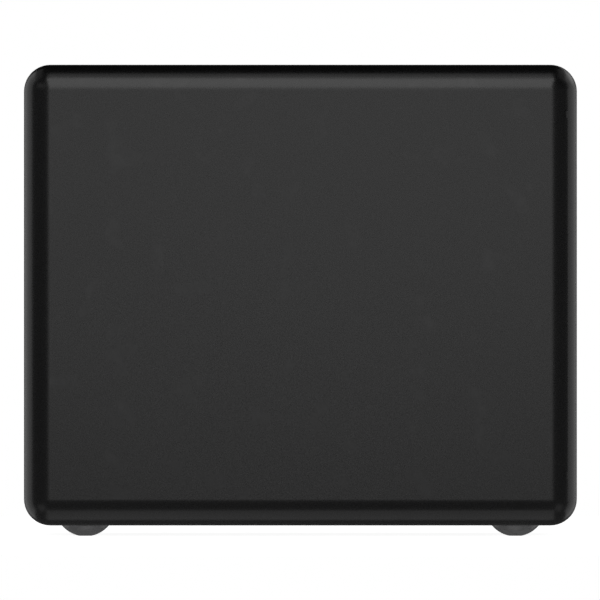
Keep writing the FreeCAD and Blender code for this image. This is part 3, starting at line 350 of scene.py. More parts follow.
@dataclass(frozen=True)
class BareMetal(Finish):
    """Bare or plated metal with a brushed or rolled grain and light tarnish."""

    brush: tuple[float, float, float] = (1.0, 1.0, 1.0)
    brush_grain: float = 0.12 * MM
    tarnish: float = 0.35
    tarnish_grain: float = 6 * MM
    depth: float = 0.003 * MM

    def paint(self, graph: Graph) -> None:
        """Fill the graph with brush lines and blotches."""
        lines = graph.noise(self.brush_grain, 2.0, self.brush)
        blotch = graph.noise(self.tarnish_grain, 4.0).ramp(0.35, 0.7)
        dull = self.tint(1.0 - self.tarnish)
        graph.set(
            base_color=graph.blend(self.colour, dull, blotch * 0.7 + (lines - 0.5) * 0.4),
            metallic=1.0,
            roughness=self.roughness + blotch * 0.12 + (lines - 0.5) * 0.12,
            normal=graph.bump(lines, self.depth),
        )


@dataclass(frozen=True)
class SpangledSteel(Finish):
    """Hot-dip galvanised sheet with crystal spangles."""

    spangle: float = 5 * MM
    grain: float = 0.3 * MM
    grain_depth: float = 0.002 * MM

    def paint(self, graph: Graph) -> None:
        """Fill the graph with flat cells of slightly different grey."""
        cells = graph.cells(self.spangle)
        shade = graph.node("ShaderNodeSeparateColor", None, {0: cells.outputs["Color"]}).outputs[0]
        tone = Channel(graph, shade)
        fine = graph.noise(self.grain, 3.0)
        graph.set(
            base_color=graph.blend(self.tint(0.72), self.colour, tone * 0.8 + fine * 0.2),
            metallic=1.0,
            roughness=self.roughness + tone * 0.15 + (fine - 0.5) * 0.1,
            normal=graph.bump(fine, self.grain_depth),
        )


@dataclass(frozen=True)
class SolderMask(Finish):
    """Printed board: solder mask over copper tracks, with vias and bare pads."""

    pitch: float = 2.4 * MM
    track: float = 0.16 * MM
    track_depth: float = 0.02 * MM
    turn: float = 14 * MM
    region: float = 11 * MM
    via_pitch: float = 3.1 * MM
    laminate: float = 1.5 * MM
    pad: Colour = (0.55, 0.42, 0.16)

    def paint(self, graph: Graph) -> None:
        """Fill the graph with stepped tracks, vias and a laminate grain."""
        x, y = graph.axis("X"), graph.axis("Y")
        sway = graph.cells(self.turn).outputs["Distance"]
        bend = Channel(graph, sway).ramp(0.2, 0.7) * (3 * self.pitch)
        along = 1.0 - (x + bend).fold(self.pitch).ramp(self.track * 0.8, self.track)
        across = 1.0 - (y + bend).fold(self.pitch * 1.5).ramp(self.track * 0.8, self.track)
        region = graph.noise(self.region, 1.0).ramp(0.47, 0.5)
        tracks = along * region + across * (1.0 - region)
        vias = 1.0 - Channel(graph, graph.cells(self.via_pitch).outputs["Distance"]).ramp(0.09, 0.13)
        masked = graph.blend(self.colour, self.tint(2.1, 0.02), tracks)
        graph.set(
            base_color=graph.blend(masked, self.pad, vias),
            metallic=vias * 0.8,
            roughness=self.roughness + graph.noise(self.laminate, 3.0) * 0.1 - vias * 0.1,
            normal=graph.bump(tracks.high(vias), self.track_depth),
        )


@dataclass(frozen=True)
class LightPipe(Finish):
    """Frosted clear plastic with a lamp behind it."""

    glow: float = 0.6
    cloud: float = 3 * MM

    def paint(self, graph: Graph) -> None:
        """Fill the graph with a soft uneven glow."""
        cloud = graph.noise(self.cloud, 1.0)
        dim = self.tint(0.8)
        graph.set(
            base_color=graph.blend(dim, self.colour, cloud),
            roughness=self.roughness + (cloud - 0.5) * 0.1,
            emission_color=graph.blend(dim, self.colour, cloud.ramp(0.3, 0.7)),
            emission_strength=self.glow,
        )


class Palette(Enum):
    """Every finish of the machine."""

    CASE = MouldedPlastic("case_plastic", (0.006, 0.006, 0.0062), 0.27)
    BEZEL = MouldedPlastic("bezel_plastic", (0.009, 0.009, 0.0094), 0.33)
    BUTTON = MouldedPlastic("button_plastic", (0.02, 0.02, 0.021), 0.24, coat=0.3)
    FAN = MouldedPlastic("fan_plastic", (0.014, 0.014, 0.0145), 0.38, grain=0.6 * MM)
    PART_BLACK = MouldedPlastic("moulded_black", (0.014, 0.014, 0.0145), 0.45, grain=0.2 * MM)
    CABLE = MouldedPlastic("cable_insulation", (0.016, 0.016, 0.017), 0.42, grain=0.8 * MM)
    FILTER = MouldedPlastic("filter_nylon", (0.03, 0.03, 0.031), 0.45, grain=0.25 * MM)
    RUBBER = SoftRubber("foot_rubber", (0.06, 0.06, 0.061), 0.26)
    PANEL = PowderCoat("panel_powder", (0.024, 0.024, 0.025), 0.4)
    TRAY = SpangledSteel("galvanised_sheet", (0.55, 0.56, 0.57), 0.32)
    SCREW = BareMetal("black_zinc", (0.2, 0.2, 0.205), 0.28, brush_grain=0.08 * MM)
    BRASS = BareMetal("turned_brass", (0.72, 0.5, 0.2), 0.25)
    COPPER = BareMetal("bare_copper", (0.78, 0.36, 0.22), 0.24, tarnish=0.4)
    FIN = BareMetal("rolled_aluminium", (0.8, 0.81, 0.82), 0.28, brush=(8.0, 1.0, 1.0))
    NICKEL = BareMetal("nickel_plate", (0.66, 0.65, 0.62), 0.2, tarnish=0.15)
    GOLD = BareMetal("gold_contact", (0.85, 0.6, 0.22), 0.22, tarnish=0.1)
    BOARD = SolderMask("solder_mask", (0.008, 0.035, 0.02), 0.32)
    LIGHT = LightPipe("light_pipe", (0.75, 0.88, 1.0), 0.4, 0.35)
    LINK_LIGHT = LightPipe("link_light", (0.12, 0.6, 0.2), 0.35, 0.12)
    TRAFFIC_LIGHT = LightPipe("traffic_light", (0.85, 0.45, 0.08), 0.35, 0.12)
    INK = MouldedPlastic("printed_ink", (0.42, 0.43, 0.44), 0.4, grain=0.1 * MM)


SLOT_FINISH = {
    "case_plastic": Palette.CASE,
    "bezel_plastic": Palette.BEZEL,
    "foot_rubber": Palette.RUBBER,
    "filter_mesh": Palette.FILTER,
    "button_plastic": Palette.BUTTON,
    "light_pipe": Palette.LIGHT,
    "board_green": Palette.BOARD,
    "part_black": Palette.PART_BLACK,
    "socket_steel": Palette.NICKEL,
    "panel_steel": Palette.PANEL,
    "tray_steel": Palette.TRAY,
    "screw_steel": Palette.SCREW,
    "standoff_brass": Palette.BRASS,
    "copper": Palette.COPPER,
    "fin_aluminium": Palette.FIN,
    "fan_plastic": Palette.FAN,
    "cell_steel": Palette.NICKEL,
    "cable_black": Palette.CABLE,
}
EDGE = 0.12 * MM
EDGE_OF = {
    "case_shell": 0.35 * MM,
    "bottom_hatch": 0.2 * MM,
    "hatch_screws": 0.1 * MM,
    "front_bezel": 0.18 * MM,
    "power_button": 0.2 * MM,
    "status_lens": 0.1 * MM,
    "dc_jack": 0.1 * MM,
    "audio_jack": 0.1 * MM,
    "rear_panel": 0.15 * MM,
    "rear_panel_screws": 0.1 * MM,
    "fan_frame": 0.25 * MM,
}
SLOT_OF = {row["node"]: row["material_slot"] for row in frame["record"]["subparts"]}
BODY_OF = {node: body for body, nodes in frame["record"]["behaviour"]["bodies"].items() for node in nodes}
SHARP = math.radians(32)
FLAT = math.radians(0.4)
WELD = 0.002 * MM
SEAM = 0.001 * MM


def dress_frame() -> None:
    """Give every carried-over node the finish of its material slot."""
    for node, piece in frame["nodes"].items():
        look = SLOT_FINISH[SLOT_OF[node]].value.material()
        for place in piece.material_slots:
            place.material = look
        log.info("dressed %s in %s", node, look.name)


# ---- bench ----


Corners = list[bmesh.types.BMVert]


def square(size: float) -> Vector:
    """The same step along X and Z."""
    return Vector((size, 0.0, size))


def corners_in(parts: Iterable) -> Corners:
    """The corners among some parts of a mesh."""
    return [part for part in parts if isinstance(part, bmesh.types.BMVert)]


def placed(name: str, data: bpy.types.ID) -> bpy.types.Object:
    """Put a new object with this data in the scene."""
    made = bpy.data.objects.new(name, data)
    bpy.context.scene.collection.objects.link(made)
    return made


@dataclass(frozen=True)
class Extent:
    """An upright box in space."""

    low: Vector
    high: Vector

    @classmethod
    def of(cls, node: str) -> "Extent":
        """The box of one carried-over node."""
        low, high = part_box(node)
        return cls(Vector(low), Vector(high))

    @property
    def middle(self) -> Vector:
        """Its middle."""
        return (self.low + self.high) / 2

    def holds(self, spot: Vector) -> bool:
        """Whether a point is inside."""
        return all(low <= at <= high for low, at, high in zip(self.low, spot, self.high))


@dataclass(frozen=True)
class Zone:
    """The part of a piece inside a box, which has a finish of its own."""

    extent: Extent
    finish: Palette


class Bench:
    """A mesh being shaped, which ends as one named piece."""

    def __init__(self) -> None:
        """Start with nothing."""
        self.mesh = bmesh.new()

    def take(self, node: str) -> None:
        """Copy a carried-over node, with its triangles joined up and its flat areas made whole.

        Args:
            node: The node's name.
        """
        self.mesh.from_mesh(frame["nodes"][node].data)
        bmesh.ops.remove_doubles(self.mesh, verts=self.mesh.verts, dist=WELD)
        bmesh.ops.dissolve_limit(self.mesh, angle_limit=FLAT, verts=self.mesh.verts, edges=self.mesh.edges)

    def whole(self) -> list:
        """Everything in the mesh."""
        return [*self.mesh.verts, *self.mesh.edges, *self.mesh.faces]

    def block(self, middle: Vector, size: Sequence[float], turn: Optional[Matrix] = None) -> None:
        """Add a box with this middle and these lengths, turned about its middle."""
        place = Matrix.Translation(middle) @ (turn or Matrix()) @ Matrix.Diagonal((*size, 1.0))
        bmesh.ops.create_cube(self.mesh, size=1.0, matrix=place)

    def rod(self, start: Vector, end: Vector, radius: float, sides: int) -> Corners:
        """Add a closed round bar.

        Args:
            start: The middle of one end.
            end: The middle of the other.
            radius: Its radius.
            sides: How many flats stand for its round.

        Returns:
            Its corners.
        """
        along = end - start
        place = Matrix.Translation((start + end) / 2) @ along.to_track_quat("Z", "Y").to_matrix().to_4x4()
        radii = {"radius1": radius, "radius2": radius}
        shape = {"cap_ends": True, "segments": sides, "depth": along.length, **radii}
        return bmesh.ops.create_cone(self.mesh, matrix=place, **shape)["verts"]

    def turned(self, outline: Sequence[tuple[float, float]], steps: int = 72) -> None:
        """Spin a closed outline of (radius, height) about the Z axis.

        Args:
            outline: Its corners in order.
            steps: How many steps the full turn takes.
        """
        corners = [self.mesh.verts.new((radius, 0.0, height)) for radius, height in outline]
        edges = [self.mesh.edges.new((corners[k - 1], corners[k])) for k in range(len(corners))]
        turn = {"cent": (0, 0, 0), "axis": (0, 0, 1), "angle": math.tau, "steps": steps, "use_merge": True}
        bmesh.ops.spin(self.mesh, geom=corners + edges, **turn)
        bmesh.ops.remove_doubles(self.mesh, verts=self.mesh.verts, dist=SEAM)

    def framed(self, outer: Extent, inner: Extent) -> None:
        """Add a plate that stands across the Y axis and has a window.

        Args:
            outer: The whole plate.
            inner: The window, of which only X and Z count.
        """
        size = outer.high - outer.low
        stand = Matrix.Translation((outer.middle.x, outer.low.y, outer.middle.z))
        upright = stand @ Matrix.Rotation(math.pi / 2, 4, "X")
        place = upright @ Matrix.Diagonal((size.x, size.z, 1.0, 1.0))
        made = bmesh.ops.create_grid(self.mesh, x_segments=1, y_segments=1, size=0.5, matrix=place)["verts"]
        sheet = [*made, *made[0].link_faces[0].edges, made[0].link_faces[0]]
        for normal in (Vector((1, 0, 0)), Vector((0, 0, 1))):
            for edge in (inner.low, inner.high):
                done = bmesh.ops.bisect_plane(self.mesh, geom=sheet, plane_co=edge, plane_no=normal)
                sheet = list(dict.fromkeys(done["geom"]))
        window, rim = [], []
        for face in (part for part in sheet if isinstance(part, bmesh.types.BMFace)):
            spot = face.calc_center_median()
            inside = inner.low.x < spot.x < inner.high.x and inner.low.z < spot.z < inner.high.z
            (window if inside else rim).append(face)
        bmesh.ops.delete(self.mesh, geom=window, context="FACES")
        grown = bmesh.ops.extrude_face_region(self.mesh, geom=rim, use_keep_orig=True)["geom"]
        bmesh.ops.translate(self.mesh, verts=corners_in(grown), vec=(0.0, size.y, 0.0))
        bmesh.ops.recalc_face_normals(self.mesh, faces=self.mesh.faces)

    def shifted(self, corners: Corners, shifts: Iterable[Vector]) -> None:
        """Repeat some corners and their faces at each shift from where they are."""
        edges = dict.fromkeys(edge for corner in corners for edge in corner.link_edges)
        faces = dict.fromkeys(face for corner in corners for face in corner.link_faces)
        for shift in shifts:
            copy = bmesh.ops.duplicate(self.mesh, geom=[*corners, *edges, *faces])["geom"]
            bmesh.ops.translate(self.mesh, verts=corners_in(copy), vec=shift)

    def slice_off(self, spot: Vector, away: Vector) -> None:
        """Cut off what lies away from a plane through a spot, and close the cut."""
        bmesh.ops.bisect_plane(self.mesh, geom=self.whole(), plane_co=spot, plane_no=away, clear_outer=True)
        bmesh.ops.holes_fill(self.mesh, edges=[edge for edge in self.mesh.edges if edge.is_boundary])

    def break_edges(self, width: float, segments: int = 2) -> None:
        """Round every sharp edge a little.

        Args:
            width: How far the rounding reaches.
            segments: How many faces it has across.
        """
        edges = [edge for edge in self.mesh.edges if edge.is_manifold and edge.calc_face_angle() > SHARP]
        shape = {"offset_type": "OFFSET", "profile": 0.5, "affect": "EDGES", "material": -1}
        bmesh.ops.bevel(self.mesh, geom=edges, offset=width, segments=segments, clamp_overlap=True, **shape)

    def finish(
        self, name: str, finish: Palette, node: str, replaces: bool = False, zones: Sequence[Zone] = ()
    ) -> None:
        """Turn the mesh into a piece that rides with a node.

        Args:
            name: The piece's name.
            finish: Its main finish.
            node: The node whose body it rides with.
            replaces: Whether it stands for that node.
            zones: Areas with other finishes.
        """
        for face in self.mesh.faces:
            face.smooth = True
            spot = face.calc_center_median()
            for index, zone in enumerate(zones, start=1):
                if zone.extent.holds(spot):
                    face.material_index = index
        for edge in self.mesh.edges:
            edge.smooth = not (edge.is_manifold and edge.calc_face_angle() > SHARP)
        data = bpy.data.meshes.new(name)
        self.mesh.to_mesh(data)
        self.mesh.free()
        for look in (finish, *(zone.finish for zone in zones)):
            data.materials.append(look.value.material())
        piece = placed(name, data)
        even = piece.modifiers.new("even_shading", "WEIGHTED_NORMAL")
        even.keep_sharp = True
        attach(piece, BODY_OF[node])
        if replaces:
            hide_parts(node)
        log.info("%s: %d faces", name, len(data.polygons))


@dataclass
class SoftCopy:
    """A node with its sharp edges broken, as moulding, pressing and turning leave them."""

    node: str
    zones: Sequence[Zone] = ()

    def build(self) -> None:
        """Copy the node, break its edges and dress it."""
        bench = Bench()
        bench.take(self.node)
        bench.break_edges(EDGE_OF.get(self.node, EDGE))
        bench.finish(self.node + "_finished", SLOT_FINISH[SLOT_OF[self.node]], self.node, True, self.zones)


def soften(*nodes: str) -> None:
    """Make a SoftCopy of each node."""
    for node in nodes:
        SoftCopy(node).build()


@dataclass
class PanelLip:
    """The lip of the bezel or of the rear panel, behind the case wall, which keeps the joint line dark."""

    node: str
    rear: bool = False
    wall: float = 2.0 * MM
    gap: float = 0.08 * MM
    thick: float = 0.4 * MM
    reach: float = 1.1 * MM
    hold: float = 1.0 * MM
    edge: float = 0.08 * MM

    def build(self) -> None:
        """Make the lip as a square frame round the panel's edge."""
        panel = Extent.of(self.node)
        half = (panel.high.z - panel.low.z) / 2
        outer, inner = half + self.reach, half - self.hold
        middle = Vector((panel.middle.x, 0.0, panel.middle.z))
        depth = self.wall + self.gap
        near = CAD_HIGH[1] - depth - self.thick if self.rear else CAD_LOW[1] + depth
        low = middle + Vector((-outer, near, -outer))
        bench = Bench()
        lip = Extent(low, low + Vector((2 * outer, self.thick, 2 * outer)))
        bench.framed(lip, Extent(middle - square(inner), middle + square(inner)))
        bench.break_edges(self.edge)
        bench.finish(self.node + "_lip", SLOT_FINISH[SLOT_OF[self.node]], self.node)


# ---- case and feet ----


@dataclass
class Case:
    """The moulded case, its bottom hatch and its four rubber feet."""

    ball_radius: float = 8.4 * MM
    ball_lift: float = 8.231 * MM
    ball_steps: int = 96
    foot_edge: float = 0.25 * MM
    seat_gap: float = 0.02 * MM

    def foot(self, node: str) -> None:
        """Make one domed foot: a ball cut flat under and over, with a straight seat on top.

        Args:
            node: The foot's node.
        """
        extent = Extent.of(node)
        bench = Bench()
        place = Matrix.Translation((extent.middle.x, extent.middle.y, self.ball_lift))
        ball = {"u_segments": self.ball_steps, "v_segments": self.ball_steps, "radius": self.ball_radius}
        bmesh.ops.create_uvsphere(bench.mesh, matrix=place, **ball)
        bench.slice_off(extent.low, Vector((0, 0, -1)))
        shoulder = CASE_BOTTOM - self.seat_gap
        bench.slice_off(Vector((0, 0, shoulder)), Vector((0, 0, 1)))
        lid = max(bench.mesh.faces, key=lambda face: face.calc_center_median().z)
        grown = bmesh.ops.extrude_discrete_faces(bench.mesh, faces=[lid])["faces"]
        bmesh.ops.translate(bench.mesh, verts=grown[0].verts, vec=(0, 0, extent.high.z - shoulder))
        bench.break_edges(self.foot_edge)
        bench.finish(node + "_dome", Palette.RUBBER, node, replaces=True)

    def build(self) -> None:
        """Make the case, the hatch, its screws and the feet."""
        soften("case_shell", "bottom_hatch", "hatch_screws")
        for end in ("front", "rear"):
            for side in ("left", "right"):
                self.foot(f"foot_{end}_{side}")


# ---- front ----


@dataclass
class Front:
    """The bezel, the dust filter behind it, the power button and the status light."""

    rim_wide: float = 3.0 * MM
    rim_edge: float = 0.25 * MM
    strand_radius: float = 0.17 * MM
    strand_sides: int = 6
    strand_pitch: float = 1.0 * MM
    symbol_radius: float = 1.9 * MM
    symbol_line: float = 0.42 * MM
    symbol_raised: float = 0.06 * MM
    symbol_gap: float = 70.0
    symbol_steps: int = 44
    bar_middle: float = 1.425 * MM
    bar_long: float = 2.09 * MM

    def filter(self) -> None:
        """Make the filter: a rim with a square netting of round nylon strands."""
        extent = Extent.of("dust_filter")
        rim = square(self.rim_wide)
        inner = Extent(extent.low + rim, extent.high - rim)
        bench = Bench()
        bench.framed(extent, inner)
        bench.break_edges(self.rim_edge)
        back = extent.high.y - 2 * self.strand_radius
        hold = self.rim_wide / 2
        for axis, depth in ((0, back), (2, back - self.strand_radius)):
            other = 2 - axis
            start, end, step = Vector(), Vector(), Vector()
            start.y = end.y = depth
            start[axis], end[axis] = inner.low[axis] - hold, inner.high[axis] + hold
            start[other] = end[other] = inner.low[other] + self.strand_pitch
            step[other] = self.strand_pitch
            strand = bench.rod(start, end, self.strand_radius, self.strand_sides)
            count = int((inner.high[other] - inner.low[other]) / self.strand_pitch) - 2
            bench.shifted(strand, [step * (number + 1) for number in range(count)])
        bench.finish("dust_filter_netting", Palette.FILTER, "dust_filter", replaces=True)

    def symbol(self) -> None:
        """Print the common on-off sign, a broken ring with a bar, on the button's cap."""
        cap = Extent.of("power_button")
        bench = Bench()
        half = math.radians(self.symbol_gap / 2)
        start = Vector((math.sin(half), 0.0, math.cos(half))) * self.symbol_radius
        section = (self.symbol_line, 2 * self.symbol_raised)
        lean = Matrix.Rotation(half - math.pi / 2, 4, "Y")
        place = Matrix.Translation(start) @ lean @ Matrix.Diagonal((*section, 1.0, 1.0))
        bmesh.ops.create_grid(bench.mesh, x_segments=1, y_segments=1, size=0.5, matrix=place)
        turn = math.tau - 2 * half
        ring = {"cent": (0, 0, 0), "axis": (0, 1, 0), "angle": turn, "steps": self.symbol_steps}
        bmesh.ops.spin(bench.mesh, geom=bench.whole(), **ring)
        bench.block(Vector((0, 0, self.bar_middle)), (*section, self.bar_long))
        bmesh.ops.translate(bench.mesh, verts=bench.mesh.verts, vec=(cap.middle.x, cap.low.y, cap.middle.z))
        bmesh.ops.recalc_face_normals(bench.mesh, faces=bench.mesh.faces)
        bench.finish("power_symbol", Palette.INK, "power_button")

    def build(self) -> None:
        """Make the whole front."""
        soften("front_bezel")
        PanelLip("front_bezel").build()
        soften("power_button", "light_ring", "status_lens")
        self.filter()
        self.symbol()


# ---- connectors ----


@dataclass
class Connector:
    """One kind of shell on the board: its mouths, and the contacts on the tongue in each."""

    node: str
    wide: float
    mouth_wide: float
    mouth_tall: float
    mouth_lows: tuple[float, ...]
    deep: float
    tongue_lift: float
    contacts: int
    pitch: float = 1.1 * MM
    rear: bool = True
    twins: int = 1
    strip_wide: float = 0.6 * MM
    strip_thick: float = 0.1 * MM
    strip_start: float = 2.0 * MM
    strip_share: float = 0.62
    steel: float = 0.25 * MM
    slack: float = 0.1 * MM

    def bodies(self) -> list[Extent]:
        """The box of each shell that the node holds."""
        extent = Extent.of(self.node)
        step = Vector((extent.high.x - extent.low.x - self.wide, 0.0, 0.0))
        first = Extent(extent.low, extent.high - step)
        return [Extent(first.low + step * side, first.high + step * side) for side in range(self.twins)]

    def mouths(self) -> list[Extent]:
        """The clear space of every mouth."""
        spaces = []
        for shell in self.bodies():
            near = shell.high.y - self.deep if self.rear else shell.low.y
            for low in self.mouth_lows:
                corner = Vector((shell.middle.x - self.mouth_wide / 2, near, shell.low.z + low))
                spaces.append(Extent(corner, corner + Vector((self.mouth_wide, self.deep, self.mouth_tall))))
        return spaces

    def zones(self) -> list[Zone]:
        """The moulded tongue and the back wall of each mouth, which are black plastic."""
        inset = square(self.steel)
        slack = Vector((0.0, self.slack, 0.0))
        inner = [Extent(space.low + inset - slack, space.high - inset - slack * 2) for space in self.mouths()]
        return [Zone(space, Palette.PART_BLACK) for space in inner]

    def strips(self) -> None:
        """Lay the gold contacts under each tongue."""
        bench = Bench()
        long = self.deep * self.strip_share
        inward = -1.0 if self.rear else 1.0
        for space in self.mouths():
            mouth = space.high.y if self.rear else space.low.y
            depth = mouth + inward * (self.strip_start + long / 2)
            for number in range(self.contacts):
                across = space.middle.x + (number - (self.contacts - 1) / 2) * self.pitch
                middle = Vector((across, depth, space.low.z + self.tongue_lift))
                bench.block(middle, (self.strip_wide, long, self.strip_thick))
        bench.finish(self.node + "_contacts", Palette.GOLD, self.node)

    def build(self) -> None:
        """Make the shell and its contacts."""
        SoftCopy(self.node, self.zones()).build()
        self.strips()


@dataclass
class TypeA(Connector):
    """Flat four-contact sockets, two beside each other."""

    wide: float = 13.2 * MM
    mouth_wide: float = 12.4 * MM
    mouth_tall: float = 5.1 * MM
    mouth_lows: tuple[float, ...] = ()
    deep: float = 9 * MM
    tongue_lift: float = 2.55 * MM
    contacts: int = 4
    pitch: float = 2.4 * MM
    twins: int = 2
    strip_wide: float = 1.1 * MM


@dataclass
class TypeC(Connector):
    """A small oval socket, seen at the front."""

    wide: float = 9.4 * MM
    mouth_wide: float = 8.4 * MM
    mouth_tall: float = 2.7 * MM
    mouth_lows: tuple[float, ...] = (0.5 * MM,)
    deep: float = 6.2 * MM
    tongue_lift: float = 0.97 * MM
    contacts: int = 9
    pitch: float = 0.65 * MM
    rear: bool = False
    strip_wide: float = 0.3 * MM
    strip_thick: float = 0.06 * MM


@dataclass
class NetworkSocket:
    """A network socket: a steel shell, a moulded front with two light windows, and eight sprung wires."""

    node: str
    mouth_wide: float = 11.8 * MM
    mouth_tall: float = 8.0 * MM
    mouth_low: float = 1.2 * MM
    deep: float = 13.0 * MM
    lining: float = 0.05 * MM
    rim: float = 0.25 * MM
    front_inset: float = 0.45 * MM
    front_sink: float = 0.02 * MM
    front_thick: float = 0.12 * MM
    front_edge: float = 0.05 * MM
    light_wide: float = 3.4 * MM
    light_deep: float = 0.3 * MM
    light_tall: float = 1.9 * MM
    light_edge: float = 0.1 * MM
    wires_count: int = 8
    wire: float = 0.4 * MM
    wire_long: float = 7.5 * MM
    wire_pitch: float = 1.02 * MM
    wire_slope: float = 24.0
    wire_forward: float = 0.5 * MM
    wire_lift: float = 2.4 * MM
    wire_edge: float = 0.08 * MM

    def mouth(self) -> Extent:
        """The clear space that the plug goes into."""
        extent = Extent.of(self.node)
        left = extent.middle.x - self.mouth_wide / 2
        low = Vector((left, extent.high.y - self.deep, extent.low.z + self.mouth_low))
        return Extent(low, low + Vector((self.mouth_wide, self.deep, self.mouth_tall)))

    def front(self) -> None:
        """Make the moulded front plate, level with the shell's rim."""
        extent, mouth = Extent.of(self.node), self.mouth()
        low, high = extent.low + square(self.front_inset), extent.high - square(self.front_inset)
        low.y, high.y = extent.high.y - self.front_sink, extent.high.y + self.front_thick
        bench = Bench()
        bench.framed(Extent(low, high), mouth)
        bench.break_edges(self.front_edge)
        bench.finish(self.node + "_front", Palette.PART_BLACK, self.node)

    def lights(self) -> None:
        """Set a link light and a traffic light over the mouth."""
        extent, mouth = Extent.of(self.node), self.mouth()
        height = (mouth.high.z + extent.high.z) / 2
        for side, finish, name in ((-1, Palette.LINK_LIGHT, "link"), (1, Palette.TRAFFIC_LIGHT, "traffic")):
            across = extent.middle.x + side * (self.mouth_wide - self.light_wide) / 2
            middle = Vector((across, extent.high.y + self.front_thick, height))
            bench = Bench()
            bench.block(middle, (self.light_wide, self.light_deep, self.light_tall))
            bench.break_edges(self.light_edge)
            bench.finish(f"{self.node}_{name}_light", finish, self.node)

    def wires(self) -> None:
        """Spring the gold wires up from the floor of the mouth."""
        mouth = self.mouth()
        bench = Bench()
        turn = Matrix.Rotation(math.radians(-self.wire_slope), 4, "X")
        depth, height = mouth.middle.y + self.wire_forward, mouth.low.z + self.wire_lift
        for number in range(self.wires_count):
            across = mouth.middle.x + (number - (self.wires_count - 1) / 2) * self.wire_pitch
            bench.block(Vector((across, depth, height)), (self.wire, self.wire_long, self.wire), turn)
        bench.break_edges(self.wire_edge, 1)
        bench.finish(self.node + "_wires", Palette.GOLD, self.node)

    def build(self) -> None:
        """Make the shell with a black lining, its front, its lights and its wires."""
        mouth = self.mouth()
        low = mouth.low - square(self.lining) - Vector((0, self.lining, 0))
        lining = Extent(low, mouth.high + square(self.lining) - Vector((0, self.rim, 0)))
        SoftCopy(self.node, [Zone(lining, Palette.PART_BLACK)]).build()
        self.front()
        self.lights()
        self.wires()


@dataclass
class Connectors:
    """Every socket of the machine."""

    shells: list[Connector] = field(
        default_factory=lambda: [
            Connector(
                "video_sockets",
                wide=15.5 * MM,
                mouth_wide=14 * MM,
                mouth_tall=4.6 * MM,
                mouth_lows=(0.8 * MM, 8.4 * MM),
                deep=9 * MM,
                tongue_lift=1.65 * MM,
                contacts=9,
            ),
            TypeA("rear_type_a_sockets", mouth_lows=(1 * MM, 9 * MM)),
            TypeA("front_type_a_sockets", mouth_lows=(0.5 * MM,), rear=False),
            TypeC("front_type_c_socket"),
        ]
    )
    pin_radius: float = 1.2 * MM
    pin_height: float = 6.0 * MM
    pin_end: float = 0.3 * MM
    gasket_reach: float = 0.7 * MM
    gasket_hold: float = 0.4 * MM
    gasket_thick: float = 0.35 * MM
    gasket_gap: float = 0.02 * MM
    gasket_edge: float = 0.06 * MM

    def power_inlet(self) -> None:
        """Make the round power inlet with its bare metal pin."""
        extent = Extent.of("dc_jack")
        axis = extent.low.z + self.pin_height
        low = Vector((extent.middle.x, extent.low.y + self.pin_end, axis)) - square(self.pin_radius)
        high = Vector((extent.middle.x, extent.high.y - self.pin_end, axis)) + square(self.pin_radius)
        SoftCopy("dc_jack", [Zone(Extent(low, high), Palette.NICKEL)]).build()

    def gaskets(self) -> None:
        """Close the slits round the rear shells with thin black frames behind the panel."""
        shells = [Extent.of(f"network_socket_{side}") for side in ("left", "right")]
        for shell in self.shells:
            shells += shell.bodies() if shell.rear else []
        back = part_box("rear_panel")[0][1]
        reach, hold = square(self.gasket_reach), square(self.gasket_hold)
        bench = Bench()
        for shell in shells:
            low, high = shell.low - reach, shell.high + reach
            low.y, high.y = back - self.gasket_thick, back - self.gasket_gap
            bench.framed(Extent(low, high), Extent(shell.low + hold, shell.high - hold))
        bench.break_edges(self.gasket_edge, 1)
        bench.finish("rear_socket_gaskets", Palette.PART_BLACK, "rear_panel")

    def build(self) -> None:
        """Make them all."""
        for shell in self.shells:
            shell.build()
        for side in ("left", "right"):
            NetworkSocket(f"network_socket_{side}").build()
        self.power_inlet()
        self.gaskets()
        soften("audio_jack")


# ---- rear and fan ----


@dataclass
class Rear:
    """The painted steel rear panel and its screws."""

    def build(self) -> None:
        """Make the panel and the screws."""
        soften("rear_panel")
        PanelLip("rear_panel", rear=True).build()
        soften("rear_panel_screws", "fan_screws")


